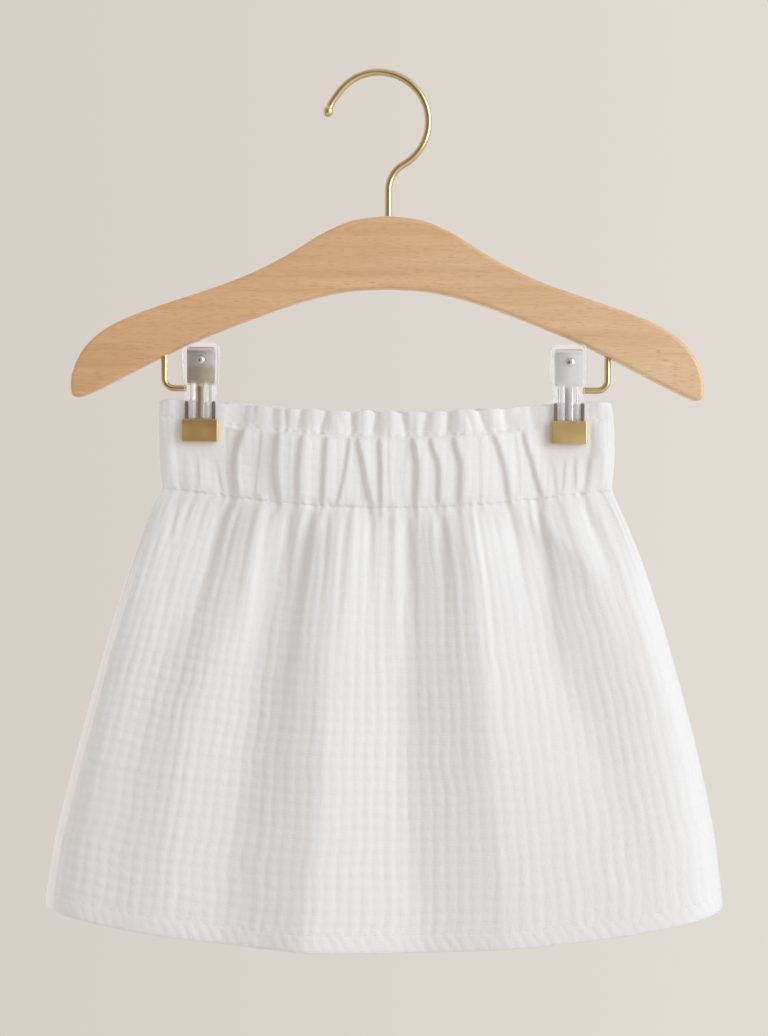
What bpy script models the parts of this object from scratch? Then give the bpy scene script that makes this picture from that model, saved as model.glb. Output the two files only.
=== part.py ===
"""A child's gathered gauze skirt, clipped by its waist to a small wooden hanger.

Sizes below are in millimetres and are turned into metres when a mesh is made.
+Z is up, +X is to the right, and the front of the skirt faces -Y.  The origin is
the inside of the hook's crest, where a rail carries the hanger.
"""
import bpy
import bmesh
from math import sin, cos, pi, sqrt, exp, radians
from mathutils import Vector

for old in list(bpy.data.objects):
    bpy.data.objects.remove(old, do_unlink=True)

MM = 0.001
GAP = 0.3                 # between pieces that touch
AXIS_X = 5.1              # the hanger's and skirt's middle, right of the hook's crest

# ---------------------------------------------------------------- hanger
WOOD_THICK = 12.0
WOOD_EDGE = 1.9           # rounding of the long edges
HOOK_WIRE = 3.8           # diameter
HOOK_RADIUS = 25.1        # centreline of the hook's bow
HOOK_BALL = 5.6           # diameter of the ball on its end
HOOK_START = 169.0        # degrees, where the bow starts at the ball
HOOK_FLARE = 1.1          # how far the free end is bent out of the round
HOOK_STOP = -60.0         # degrees, where the bow turns back to the stem
NECK_RADIUS = 15.0        # the bend from the bow into the stem
HOOK_BORE_DEPTH = 17.0
ARM_WIRE = 3.3
ARM_X = {"left": 113.0, "right": 111.6}   # from the middle to the arm's upright leg
ARM_BEND = 5.0
ARM_END = 7.2             # from the clip's middle to the end of the arm's level leg
ARM_BORE_DEPTH = 10.0
PIVOT_Z = -158.9          # the arm's level leg, which is the clip's pivot

# One row for each section of the bar, from the middle outwards.
# (distance from the middle, top of the wood, bottom of the wood)
WOOD_SECTIONS = (
    (0.0, -71.3, -108.0),
    (16.2, -73.4, -108.8),
    (32.4, -80.0, -111.7),
    (48.7, -90.1, -116.4),
    (64.9, -98.8, -122.2),
    (81.1, -105.7, -128.5),
    (97.3, -111.4, -135.2),
    (113.6, -116.8, -143.0),
    (129.8, -122.8, -151.3),
    (137.9, -126.5, -155.5),
    (146.0, -131.7, -159.6),
    (152.1, -137.5, -162.4),
    (156.4, -144.0, -163.9),
    (159.2, -151.0, -163.6),
)
WOOD_NOSE = (160.0, -157.5)   # the outermost point of each end

# ---------------------------------------------------------------- clips
CLIP_X = {"left": 94.5, "right": 91.9}    # from the middle to each clip's middle
JAW_WIDTH = 18.2
JAW_TOP = -174.5
JAW_HEIGHT = 11.7
JAW_THICK = 3.4
JAW_INSIDE = 2.5          # from the middle plane to the jaw's inner face
SPRING_THICK = 0.5
RIB_X = 3.6               # the two stiffening ribs on a leaf's outer face
RIB_HALF = 1.4

# One row for each section of a clip leaf, from the top down.
# (height, half width, inner face from the middle plane, thickness, rib height)
LEAF_SECTIONS = (
    (-135.7, 6.8, 7.2, 1.8, 0.00),
    (-136.6, 8.4, 7.0, 1.8, 0.00),
    (-138.6, 9.2, 6.6, 1.8, 0.00),
    (-146.5, 9.2, 5.2, 1.9, 0.00),
    (-155.4, 9.0, 3.8, 1.9, 0.00),
    (-156.6, 8.4, 3.6, 1.9, 0.80),
    (-158.0, 7.9, 3.4, 1.8, 1.20),
    (-165.5, 7.8, 3.3, 1.8, 1.20),
    (-174.2, 7.8, 3.3, 1.8, 1.20),
)

# One row for each point of the spring's middle line on one side, from the
# middle of its bight down one leg; the other side mirrors it.
# (from the middle plane, height, half width)
SPRING_POINTS = (
    (0.0, -138.2, 6.0),
    (4.4, -138.4, 6.4),
    (5.7, -139.6, 6.7),
    (4.65, -146.5, 6.7),
    (3.25, -155.2, 6.7),
    (3.05, -156.6, 6.4),
    (2.95, -157.2, 2.6),
    (2.85, -158.6, 2.1),
    (2.75, -165.5, 2.1),
    (2.75, -174.2, 2.1),
)

# ---------------------------------------------------------------- waistband
WAIST_HALF = 115.0
BAND_WALL = 2.0           # folded double gauze
HEADER_SHARE = 0.18       # of the band's run from top edge to seam
SAG_POWER = 1.3
BAND_DEPTH = 8.8          # half depth of the open waist at its middle
PINCH_DEPTH = 2.15        # half depth in a clip
PINCH_HALF = 10.2         # flat on both sides of a clip's middle
FLAP_DEPTH = 3.0          # half depth of the band outside the clips
CASING_BULGE = 1.1
HEADER_FLARE = 0.9

# The band's three level lines: (height at the side, drop at the middle)
BAND_LINES = {
    "front": {"top": (-165.3, 4.6), "row": (-173.4, 9.4), "seam": (-209.7, 9.4)},
    "back": {"top": (-165.3, 3.4), "row": (-173.4, 9.0), "seam": (-209.7, 9.2)},
}
# Half width of the band by its run: (run from 0 top to 1 seam, left, right)
BAND_WIDTHS = (
    (0.00, 115.4, 113.8),
    (0.18, 115.9, 114.9),
    (0.55, 115.7, 115.6),
    (1.00, 114.0, 114.2),
)

# One row for each casing fold: (place across from -1 to 1, depth, half width)
BAND_FOLDS = {
    "front": (
        (-0.680, 1.0, 0.034),
        (-0.505, 1.5, 0.032),
        (-0.395, 1.2, 0.028),
        (-0.285, 1.5, 0.030),
        (-0.184, 1.2, 0.028),
        (-0.051, 1.6, 0.034),
        (0.090, 1.7, 0.032),
        (0.200, 1.2, 0.028),
        (0.300, 1.5, 0.030),
        (0.455, 1.6, 0.036),
        (0.597, 1.3, 0.034),
        (0.690, 1.0, 0.030),
    ),
    "back": (
        (-0.655, 1.1, 0.034),
        (-0.530, 1.3, 0.030),
        (-0.420, 1.6, 0.032),
        (-0.290, 1.3, 0.030),
        (-0.150, 1.6, 0.034),
        (-0.030, 1.3, 0.030),
        (0.080, 1.2, 0.028),
        (0.215, 1.7, 0.034),
        (0.345, 1.4, 0.032),
        (0.470, 1.2, 0.030),
        (0.585, 1.5, 0.032),
        (0.700, 1.0, 0.030),
    ),
}

# ---------------------------------------------------------------- skirt panels
SIDE_LENGTH = 208.8       # from the seam down to the hem, at the side
HEM_DROP = 19.6           # how much lower the hem is at the middle
PANEL_WALL = 1.2
HEM_WALL = 2.2            # the hem is turned up, so it is thicker
HEM_HEIGHT = 8.0
HEM_DEPTH = {"front": 34.0, "back": 32.0}

# Half width of the skirt by its run: (run from 0 seam to 1 hem, left, right)
SKIRT_WIDTHS = (
    (0.00, 113.4, 114.4),
    (0.04, 118.0, 118.2),
    (0.14, 126.0, 127.3),
    (0.27, 134.9, 136.9),
    (0.41, 143.4, 145.7),
    (0.66, 157.1, 159.6),
    (0.86, 167.0, 167.9),
    (1.00, 171.3, 171.3),
)

# The panels hang in broad folds.  One row for each line that runs from the seam to
# the hem along a crest or a trough; the cloth goes straight from line to line.
# (places across from -1 to 1 at the four runs in PLACE_RUNS,
#  heights at the five runs in HEIGHT_RUNS, how softly it turns)
PLACE_RUNS = (0.05, 0.26, 0.56, 1.00)
HEIGHT_RUNS = (0.00, 0.09, 0.40, 0.72, 1.00)
FOLD_LINES = {
    "front": (
        ((-0.915, -0.910, -0.920, -0.930), (0.0, 1.8, 2.2, 1.6, 1.0), 5.0),
        ((-0.735, -0.758, -0.799, -0.800), (0.0, -2.0, -2.0, -1.1, -0.6), 4.0),
        ((-0.560, -0.580, -0.660, -0.670), (0.0, 3.4, 3.2, 2.2, 1.2), 6.0),
        ((-0.405, -0.438, -0.447, -0.465), (0.0, -3.0, -3.4, -2.4, -1.2), 5.0),
        ((-0.290, -0.300, -0.300, -0.340), (0.0, 4.4, 5.8, 5.2, 3.8), 3.5),
        ((-0.200, -0.208, -0.206, -0.250), (0.0, 7.0, 8.2, 8.0, 6.2), 4.0),
        ((0.074, 0.070, 0.055, 0.095), (0.0, -1.4, -2.0, -1.8, -1.2), 4.0),
        ((0.345, 0.330, 0.314, 0.338), (0.0, 7.6, 7.4, 4.4, 2.0), 3.0),
        ((0.575, 0.583, 0.680, 0.800), (0.0, -2.8, -3.2, -2.2, -1.4), 7.0),
        ((0.755, 0.784, 0.900, 0.955), (0.0, 4.2, 3.2, 1.2, 0.4), 5.0),
    ),
    "back": (
        ((-0.900, -0.905, -0.915, -0.930), (0.0, 1.6, 1.4, 1.0, 0.6), 5.0),
        ((-0.700, -0.720, -0.760, -0.790), (0.0, -1.8, -1.8, -1.2, -0.6), 5.0),
        ((-0.520, -0.545, -0.590, -0.620), (0.0, 4.2, 4.0, 2.8, 1.2), 5.0),
        ((-0.300, -0.320, -0.360, -0.390), (0.0, -1.8, -2.2, -1.6, -0.8), 4.0),
        ((-0.090, -0.080, -0.070, -0.110), (0.0, 5.6, 6.0, 4.2, 1.8), 4.0),
        ((0.190, 0.180, 0.160, 0.150), (0.0, -1.6, -2.0, -1.4, -0.6), 4.0),
        ((0.405, 0.420, 0.450, 0.480), (0.0, 5.8, 5.6, 3.6, 1.6), 3.5),
        ((0.630, 0.660, 0.710, 0.760), (0.0, -2.0, -2.0, -1.2, -0.5), 6.0),
        ((0.830, 0.850, 0.890, 0.930), (0.0, 2.8, 2.2, 1.2, 0.6), 5.0),
    ),
}


# ---------------------------------------------------------------- helpers
def smooth(x):
    x = min(1.0, max(0.0, x))
    return x * x * (3.0 - 2.0 * x)


def mix(a, b, share):
    return a + (b - a) * share


def through(rows, at, column):
    """A smooth curve through one column of a table, read at a value of its first."""
    n = len(rows)
    if at <= rows[0][0]:
        return rows[0][column]
    if at >= rows[-1][0]:
        return rows[-1][column]
    step = [rows[i + 1][0] - rows[i][0] for i in range(n - 1)]
    rate = [(rows[i + 1][column] - rows[i][column]) / step[i] for i in range(n - 1)]

    def slope(i):
        if i == 0:
            return rate[0]
        if i == n - 1:
            return rate[-1]
        if rate[i - 1] * rate[i] <= 0.0:
            return 0.0
        return 2.0 * rate[i - 1] * rate[i] / (rate[i - 1] + rate[i])

    i = max(k for k in range(n - 1) if rows[k][0] <= at)
    s = (at - rows[i][0]) / step[i]
    a, b = rows[i][column], rows[i + 1][column]
    return ((2 * s ** 3 - 3 * s ** 2 + 1) * a + (s ** 3 - 2 * s ** 2 + s) * step[i] * slope(i)
            + (3 * s ** 2 - 2 * s ** 3) * b + (s ** 3 - s ** 2) * step[i] * slope(i + 1))


def material(name, colour, roughness, metallic=0.0, transmission=0.0):
    made = bpy.data.materials.new(name)
    made.use_nodes = True
    shader = made.node_tree.nodes["Principled BSDF"]
    shader.inputs["Base Color"].default_value = (*colour, 1.0)
    shader.inputs["Roughness"].default_value = roughness
    shader.inputs["Metallic"].default_value = metallic
    shader.inputs["Transmission Weight"].default_value = transmission
    made.diffuse_color = (*colour, 1.0)
    return made


def add_object(name, bm, finish, sharp=None):
    bmesh.ops.recalc_face_normals(bm, faces=bm.faces)
    mesh = bpy.data.meshes.new(name)
    bm.to_mesh(mesh)
    bm.free()
    if sharp is not None:
        mesh.shade_smooth()
        mesh.set_sharp_from_angle(angle=radians(sharp))
    made = bpy.data.objects.new(name, mesh)
    bpy.context.collection.objects.link(made)
    made.data.materials.append(finish)
    return made


def metres(x, y, z):
    return (x * MM, y * MM, z * MM)


def loft(bm, sections):
    """Join closed sections, each with the same count of points, and cap both ends."""
    rings = [[bm.verts.new(metres(*p)) for p in section] for section in sections]
    count = len(rings[0])
    for a, b in zip(rings, rings[1:]):
        for i in range(count):
            j = (i + 1) % count
            bm.faces.new((a[i], a[j], b[j], b[i]))
    bm.faces.new(rings[0][::-1])
    bm.faces.new(rings[-1])


def rod(name, path, radii, sides, finish):
    """A round wire along a path in a plane of constant Y, one radius for each point."""
    bm = bmesh.new()
    sections = []
    for i, (x, y, z) in enumerate(path):
        before = path[max(i - 1, 0)]
        after = path[min(i + 1, len(path) - 1)]
        along = Vector((after[0] - before[0], 0.0, after[2] - before[2])).normalized()
        side = Vector((along.z, 0.0, -along.x))
        ring = []
        for k in range(sides):
            turn = 2.0 * pi * k / sides
            ring.append((x + radii[i] * cos(turn) * side.x,
                         y + radii[i] * sin(turn),
                         z + radii[i] * cos(turn) * side.z))
        sections.append(ring)
    loft(bm, sections)
    return add_object(name, bm, finish, sharp=40.0)


# ---------------------------------------------------------------- cloth shapes
def sag(q):
    """Share of the full drop between the clips, at a place across from -1 to 1."""
    return max(0.0, 1.0 - q * q) ** SAG_POWER


def past_clip(q):
    """Distance outward from the middle of the clip on the same half."""
    return abs(q) * WAIST_HALF - CLIP_X["left" if q < 0.0 else "right"]


def pinch(q):
    """1 where a clip presses front and back together, 0 where they are free."""
    off = past_clip(q)
    if off < 0.0:
        return 1.0 - smooth((-off - PINCH_HALF) / 42.0)
    return 1.0 - smooth((off - PINCH_HALF) / 7.0)


def rounded(q, power):
    return sqrt(max(0.0, 1.0 - abs(q) ** power))


def valleys(q, rows):
    return sum(depth * exp(-((q - place) / width) ** 2) for place, depth, width in rows)


def band_point(q, t, side):
    """The waistband's outer skin: q across, t from its top edge (0) to the seam (1)."""
    lines = BAND_LINES[side]
    free = (1.0 - pinch(q)) * smooth((1.0 - abs(q)) / 0.06)
    folds = valleys(q, BAND_FOLDS[side])
    top = lines["top"][0] - lines["top"][1] * sag(q) - 0.9 * folds * free
    row = lines["row"][0] - lines["row"][1] * sag(q)
    seam = lines["seam"][0] - lines["seam"][1] * sag(q)
    if t < HEADER_SHARE:
        s = t / HEADER_SHARE
        z = mix(top, row, s)
        swell = HEADER_FLARE * (1.0 - s)
        strength = mix(1.25, 0.8, s)
    else:
        s = (t - HEADER_SHARE) / (1.0 - HEADER_SHARE)
        z = mix(row, seam, s)
        swell = CASING_BULGE * sin(pi * s)
        strength = 0.8 + 0.3 * sin(pi * s)
    flap = FLAP_DEPTH * rounded(q, 9 if q < 0.0 else 6)
    open_depth = mix(BAND_DEPTH * rounded(q, 6), flap, smooth((past_clip(q) - 2.0) / 12.0))
    depth = mix(open_depth, PINCH_DEPTH, pinch(q))
    depth = mix(depth, open_depth, 0.35 * smooth((t - 0.55) / 0.45))
    depth += (swell - strength * folds) * free
    x = AXIS_X + q * through(BAND_WIDTHS, t, 1 if q < 0.0 else 2)
    return x, max(depth, GAP / 2), z


def broad_folds(q, t, side, width):
    """Height of the broad folds: straight flanks from line to line, turned softly."""
    lines = [(-1.0, 0.0, 1.0)]
    for places, heights, rounding in FOLD_LINES[side]:
        lines.append((through(list(zip(PLACE_RUNS, places)), t, 1),
                      through(list(zip(HEIGHT_RUNS, heights)), t, 1), rounding))
    lines.append((1.0, 0.0, 1.0))
    slopes = [(b[1] - a[1]) / ((b[0] - a[0]) * width) for a, b in zip(lines, lines[1:])]
    total = slopes[0] * (q + 1.0) * width
    for before, after, (place, _, rounding) in zip(slopes, slopes[1:], lines[1:]):
        past = (q - place) * width
        total += (after - before) * 0.5 * (past + sqrt(past * past + rounding * rounding))
    return total


def skirt_point(q, t, side):
    """A skirt panel's outer skin: q across, t from the seam (0) to the hem (1)."""
    width = through(SKIRT_WIDTHS, t, 1 if q < 0.0 else 2)
    lines = BAND_LINES[side]["seam"]
    drop = mix(lines[1] * sag(q), HEM_DROP * max(0.0, 1.0 - q * q) ** 0.9, t)
    z = lines[0] - GAP - t * (SIDE_LENGTH - GAP) - drop
    at_seam = band_point(q, 1.0, side)[1]
    full = mix(BAND_DEPTH, HEM_DEPTH[side], t ** 0.85)
    hanging = full * rounded(q, mix(4.0, 5.0 if q < 0.0 else 6.5, t))
    depth = mix(at_seam, hanging, smooth(t / 0.38))
    depth += broad_folds(q, t, side, width) * smooth((1.0 - abs(q)) / 0.08)
    return AXIS_X + q * width, max(depth, GAP / 2), z


def cloth_wall(name, point, wall, across, down, side, finish):
    """A closed wall: its outer skin, the same skin moved in, and the edges between."""
    way = -1.0 if side == "front" else 1.0
    bm = bmesh.new()
    outer, inner = [], []
    for t in down:
        half = (point(1.0, t, side)[0] - point(-1.0, t, side)[0]) / 2.0
        out_row, in_row = [], []
        for q in across:
            x, depth, z = point(q, t, side)
            thick = wall(t)
            near = max(-1.0, q - 0.004), min(1.0, q + 0.004)
            a, b = point(near[0], t, side), point(near[1], t, side)
            lean = (b[1] - a[1]) / max(1e-6, b[0] - a[0])
            across_wall = thick * min(1.8, sqrt(1.0 + lean * lean))
            in_depth = max(GAP / 2, depth - across_wall)
            in_x = AXIS_X + (x - AXIS_X) * (half - thick) / half
            out_row.append(bm.verts.new(metres(x, way * depth, z)))
            in_row.append(bm.verts.new(metres(in_x, way * in_depth, z)))
        outer.append(out_row)
        inner.append(in_row)
    rows, columns = len(down), len(across)
    for j in range(rows - 1):
        for i in range(columns - 1):
            bm.faces.new((outer[j][i], outer[j][i + 1], outer[j + 1][i + 1], outer[j + 1][i]))
            bm.faces.new((inner[j][i], inner[j + 1][i], inner[j + 1][i + 1], inner[j][i + 1]))
    for j in (0, rows - 1):
        for i in range(columns - 1):
            bm.faces.new((outer[j][i], inner[j][i], inner[j][i + 1], outer[j][i + 1]))
    for i in (0, columns - 1):
        for j in range(rows - 1):
            bm.faces.new((outer[j][i], outer[j + 1][i], inner[j + 1][i], inner[j][i]))
    return add_object(name, bm, finish, sharp=50.0)


def stations(count, ends):
    """Places across a panel: even steps between the given places near each end."""
    edge = ends[0]
    inside = [mix(-edge, edge, i / count) for i in range(count + 1)]
    return [-e for e in reversed(ends[1:])] + inside + list(ends[1:])


# ---------------------------------------------------------------- materials
gauze = material("gauze", (0.86, 0.85, 0.84), 0.90)
beech = material("beech", (0.62, 0.40, 0.23), 0.50)
brass = material("brass", (0.60, 0.47, 0.25), 0.30, metallic=1.0)
acrylic = material("acrylic", (0.92, 0.92, 0.92), 0.10, transmission=0.9)
steel = material("steel", (0.62, 0.61, 0.60), 0.25, metallic=1.0)

# ---------------------------------------------------------------- the skirt
band_across = stations(72, (0.955, 0.975, 0.990, 0.998, 1.0))
band_down = (0.0, HEADER_SHARE * 0.5, HEADER_SHARE, 0.38, 0.59, 0.80, 1.0)
panel_across = stations(44, (0.945, 0.975, 0.993, 1.0))
hem_start = 1.0 - HEM_HEIGHT / SIDE_LENGTH
panel_down = (0.0, 0.04, 0.10, 0.18, 0.27, 0.37, 0.48, 0.60, 0.72, 0.84,
              hem_start - 0.004, hem_start, 1.0)

for side in ("front", "back"):
    cloth_wall("waistband_" + side, band_point, lambda t: BAND_WALL,
               band_across, band_down, side, gauze)
    cloth_wall("skirt_" + side, skirt_point,
               lambda t: HEM_WALL if t >= hem_start else PANEL_WALL,
               panel_across, panel_down, side, gauze)

# ---------------------------------------------------------------- the hanger bar
steps = 26
reach = WOOD_SECTIONS[-1][0]
places = [reach * sin(0.5 * pi * k / steps) for k in range(steps + 1)]
outline = [(d, through(WOOD_SECTIONS, d, 1)) for d in places]
outline += [WOOD_NOSE]
outline += [(d, through(WOOD_SECTIONS, d, 2)) for d in reversed(places)]
loop = [(AXIS_X + d, z) for d, z in outline]
loop += [(AXIS_X - d, z) for d, z in reversed(outline[1:-1])]
bar = bmesh.new()
loft(bar, [[(x, y, z) for x, z in loop] for y in (-WOOD_THICK / 2, WOOD_THICK / 2)])
wood = add_object("hanger_wood", bar, beech, sharp=40.0)
rounding = wood.modifiers.new("rounded_edges", 'BEVEL')
rounding.width = WOOD_EDGE * MM
rounding.segments = 2
rounding.limit_method = 'ANGLE'
rounding.angle_limit = radians(60.0)


def bore(name, x, z_from, z_to, radius):
    """A cutter for a blind bore along Z."""
    bm = bmesh.new()
    ring = [(x + radius * cos(2 * pi * k / 16), radius * sin(2 * pi * k / 16)) for k in range(16)]
    loft(bm, [[(a, b, z) for a, b in ring] for z in (z_from, z_to)])
    cutter = add_object(name, bm, beech)
    cutter.hide_render = True
    cutter.display_type = 'WIRE'
    cut = wood.modifiers.new(name, 'BOOLEAN')
    cut.operation = 'DIFFERENCE'
    cut.object = cutter
    cut.solver = 'EXACT'


stem_foot = WOOD_SECTIONS[0][1] - HOOK_BORE_DEPTH
bore("bore_hook", AXIS_X, WOOD_SECTIONS[0][1] + 6.0, stem_foot - GAP, HOOK_WIRE / 2 + GAP)
arm_top = {name: through(WOOD_SECTIONS, ARM_X[name], 2) + ARM_BORE_DEPTH for name in ARM_X}
for name, way in (("left", -1.0), ("right", 1.0)):
    bore("bore_" + name, AXIS_X + way * ARM_X[name], arm_top[name] - ARM_BORE_DEPTH - 8.0,
         arm_top[name] + GAP, ARM_WIRE / 2 + GAP)

# ---------------------------------------------------------------- the hook
wire = HOOK_WIRE / 2
bow_z = wire - HOOK_RADIUS
path, radii = [], []
ball = HOOK_BALL / 2


def bow(degrees):
    """A point of the bow's centreline; its free end is bent out a little."""
    out = HOOK_RADIUS + HOOK_FLARE * smooth((degrees - HOOK_START + 24.0) / 24.0)
    return out * cos(radians(degrees)), 0.0, bow_z + out * sin(radians(degrees))


for k in range(7):                       # the ball, swept as part of the wire
    turn = mix(0.06 * pi, 0.765 * pi, k / 6)
    path.append(bow(HOOK_START + ball * cos(turn) / radians(HOOK_RADIUS)))
    radii.append(ball * sin(turn))
bow_from = HOOK_START - 8.0
for k in range(31):
    path.append(bow(mix(bow_from, HOOK_STOP, k / 30)))
    radii.append(wire)
bend_x, bend_z = path[-1][0], path[-1][2]
centre_x = bend_x + NECK_RADIUS * cos(radians(HOOK_STOP))
centre_z = bend_z + NECK_RADIUS * sin(radians(HOOK_STOP))
for k in range(1, 8):
    angle = radians(mix(180.0 + HOOK_STOP, 180.0, k / 7))
    path.append((centre_x + NECK_RADIUS * cos(angle), 0.0, centre_z + NECK_RADIUS * sin(angle)))
    radii.append(wire)
path[-1] = (AXIS_X, 0.0, path[-1][2])
path.append((AXIS_X, 0.0, stem_foot))
radii.append(wire)
rod("hanger_hook", path, radii, 12, brass)

# ---------------------------------------------------------------- arms and clips
for name, way in (("left", -1.0), ("right", 1.0)):
    middle = AXIS_X + way * CLIP_X[name]
    upright = AXIS_X + way * ARM_X[name]

    path = [(upright, 0.0, arm_top[name]), (upright, 0.0, PIVOT_Z + ARM_BEND)]
    for k in range(1, 6):
        turn = 0.5 * pi * k / 5
        path.append((upright - way * ARM_BEND * (1.0 - cos(turn)), 0.0,
                     PIVOT_Z + ARM_BEND * (1.0 - sin(turn))))
    path.append((middle + way * ARM_END, 0.0, PIVOT_Z))
    rod("arm_" + name, path, [ARM_WIRE / 2] * len(path), 10, brass)

    for face, out in (("front", -1.0), ("back", 1.0)):
        sections = []
        for z, half, inside, thick, rib in LEAF_SECTIONS:
            skin = inside + thick
            row = [(-half, inside), (half, inside), (half, skin)]
            for rib_x in (RIB_X, -RIB_X):
                row += [(rib_x + RIB_HALF, skin), (rib_x + 0.5 * RIB_HALF, skin + rib),
                        (rib_x - 0.5 * RIB_HALF, skin + rib), (rib_x - RIB_HALF, skin)]
            row.append((-half, skin))
            sections.append([(middle + a, out * b, z) for a, b in row])
        bm = bmesh.new()
        loft(bm, sections)
        add_object("clip_" + name + "_leaf_" + face, bm, acrylic, sharp=35.0)

        bm = bmesh.new()
        corners = [(-1, 0), (1, 0), (1, 1), (-1, 1)]
        box = [[(middle + a * JAW_WIDTH / 2, out * (JAW_INSIDE + b * JAW_THICK), z)
                for a, b in corners] for z in (JAW_TOP, JAW_TOP - JAW_HEIGHT)]
        loft(bm, box)
        jaw = add_object("clip_" + name + "_jaw_" + face, bm, brass, sharp=35.0)
        soft = jaw.modifiers.new("soft_edges", 'BEVEL')
        soft.width = 0.6 * MM
        soft.segments = 2

    # The spring: a steel strip bent over between the leaves, with a broad bight and
    # two narrow tongues that run down inside the leaves to the jaws.
    spring = [(-y, z, half) for y, z, half in reversed(SPRING_POINTS)] + list(SPRING_POINTS[1:])
    sections = []
    for i, (y, z, half) in enumerate(spring):
        before, after = spring[max(i - 1, 0)], spring[min(i + 1, len(spring) - 1)]
        along = Vector((after[0] - before[0], after[1] - before[1])).normalized()
        up = Vector((-along.y, along.x)) * SPRING_THICK / 2
        sections.append([(middle - half, y - up.x, z - up.y), (middle + half, y - up.x, z - up.y),
                         (middle + half, y + up.x, z + up.y), (middle - half, y + up.x, z + up.y)])
    bm = bmesh.new()
    loft(bm, sections)
    add_object("clip_" + name + "_spring", bm, steel, sharp=30.0)
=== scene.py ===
"""The looks of a child's gathered gauze skirt on a small wooden clip hanger.

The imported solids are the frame.  Every cloth piece and every hanger piece is modelled
again here on the form of its own solid, with folds, crinkle, stitches and finishes.
Sizes are in millimetres and are turned into metres when a mesh is made.
"""
import bpy
import bmesh
import numpy as np
from math import sin, cos, pi, sqrt, radians
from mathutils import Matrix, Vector


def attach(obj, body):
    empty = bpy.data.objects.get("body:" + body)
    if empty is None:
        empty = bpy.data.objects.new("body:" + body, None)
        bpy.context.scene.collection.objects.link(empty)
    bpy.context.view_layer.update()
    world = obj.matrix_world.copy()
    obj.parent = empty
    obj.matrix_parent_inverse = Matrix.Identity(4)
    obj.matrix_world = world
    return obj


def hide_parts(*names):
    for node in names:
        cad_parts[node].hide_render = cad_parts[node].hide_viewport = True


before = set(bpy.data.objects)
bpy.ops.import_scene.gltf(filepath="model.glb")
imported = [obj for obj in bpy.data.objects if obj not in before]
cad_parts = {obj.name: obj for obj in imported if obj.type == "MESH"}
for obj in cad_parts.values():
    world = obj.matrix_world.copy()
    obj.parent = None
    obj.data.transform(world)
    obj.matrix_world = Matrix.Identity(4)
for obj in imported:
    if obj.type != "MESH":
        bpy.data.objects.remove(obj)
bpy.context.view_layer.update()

MM = 0.001
GAP = 0.3
AXIS_X = 5.1              # the hanger's and skirt's middle, right of the hook's crest

# ================================================================ sizes of the solids
WAIST_HALF = 115.0
HEADER_SHARE = 0.18       # of the band's run from top edge to seam
SAG_POWER = 1.3
BAND_DEPTH = 8.8
PINCH_DEPTH = 2.15
PINCH_HALF = 10.2
FLAP_DEPTH = 3.0          # half depth of the band outside the clips
CASING_BULGE = 1.1
HEADER_FLARE = 0.9
BAND_WALL = 1.7
BAND_RUN = 44.4           # at the side, from the top edge to the seam
BAND_LINES = {            # (height at the side, drop at the middle)
    "front": {"top": (-165.3, 4.6),"row": (-173.4, 9.4), "seam": (-209.7, 9.4)},
    "back": {"top": (-165.3, 3.4), "row": (-173.4, 9.0), "seam": (-209.7, 9.2)},
}
BAND_WIDTHS = (           # (run from the top edge to the seam, half width left, right)
    (0.00, 115.4, 113.8),
    (0.18, 115.9, 114.9),
    (0.55, 115.7, 115.6),
    (1.00, 114.0, 114.2),
)

SIDE_LENGTH = 208.8
HEM_HALF = 171.3
HEM_DROP = 19.6
PANEL_WALL = 1.0
HEM_WALL = 2.0
HEM_HEIGHT = 8.0
HEM_START = 1.0 - HEM_HEIGHT / SIDE_LENGTH
HEM_DEPTH = {"front": 34.0, "back": 32.0}
SKIRT_WIDTHS = (          # (run from seam to hem, half width left, right)
    (0.00, 113.4, 114.4),
    (0.04, 118.0, 118.2),
    (0.14, 126.0, 127.3),
    (0.27, 134.9, 136.9),
    (0.41, 143.4, 145.7),
    (0.66, 157.1, 159.6),
    (0.86, 167.0, 167.9),
    (1.00, 171.3, 171.3),
)

WOOD_THICK = 12.0
WOOD_EDGE = 1.9
HOOK_WIRE = 3.8
HOOK_RADIUS = 25.1
HOOK_BALL = 5.6
HOOK_START = 169.0
HOOK_FLARE = 1.1
HOOK_STOP = -60.0
NECK_RADIUS = 15.0
HOOK_BORE_DEPTH = 17.0
ARM_WIRE = 3.3
ARM_X = {"left": 113.0, "right": 111.6}
ARM_BEND = 5.0
ARM_END = 7.2             # from the middle of the clip to the end of the arm's level leg
ARM_BORE_DEPTH = 10.0
PIVOT_Z = -158.9
WOOD_SECTIONS = (         # (distance from the middle, top of the wood, bottom)
    (0.0, -71.3, -108.0),
    (16.2, -73.4, -108.8),
    (32.4, -80.0, -111.7),
    (48.7, -90.1, -116.4),
    (64.9, -98.8, -122.2),
    (81.1, -105.7, -128.5),
    (97.3, -111.4, -135.2),
    (113.6, -116.8, -143.0),
    (129.8, -122.8, -151.3),
    (137.9, -126.5, -155.5),
    (146.0, -131.7, -159.6),
    (152.1, -137.5, -162.4),
    (156.4, -144.0, -163.9),
    (159.2, -151.0, -163.6),
)
WOOD_NOSE = (160.0, -157.5)

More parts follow.
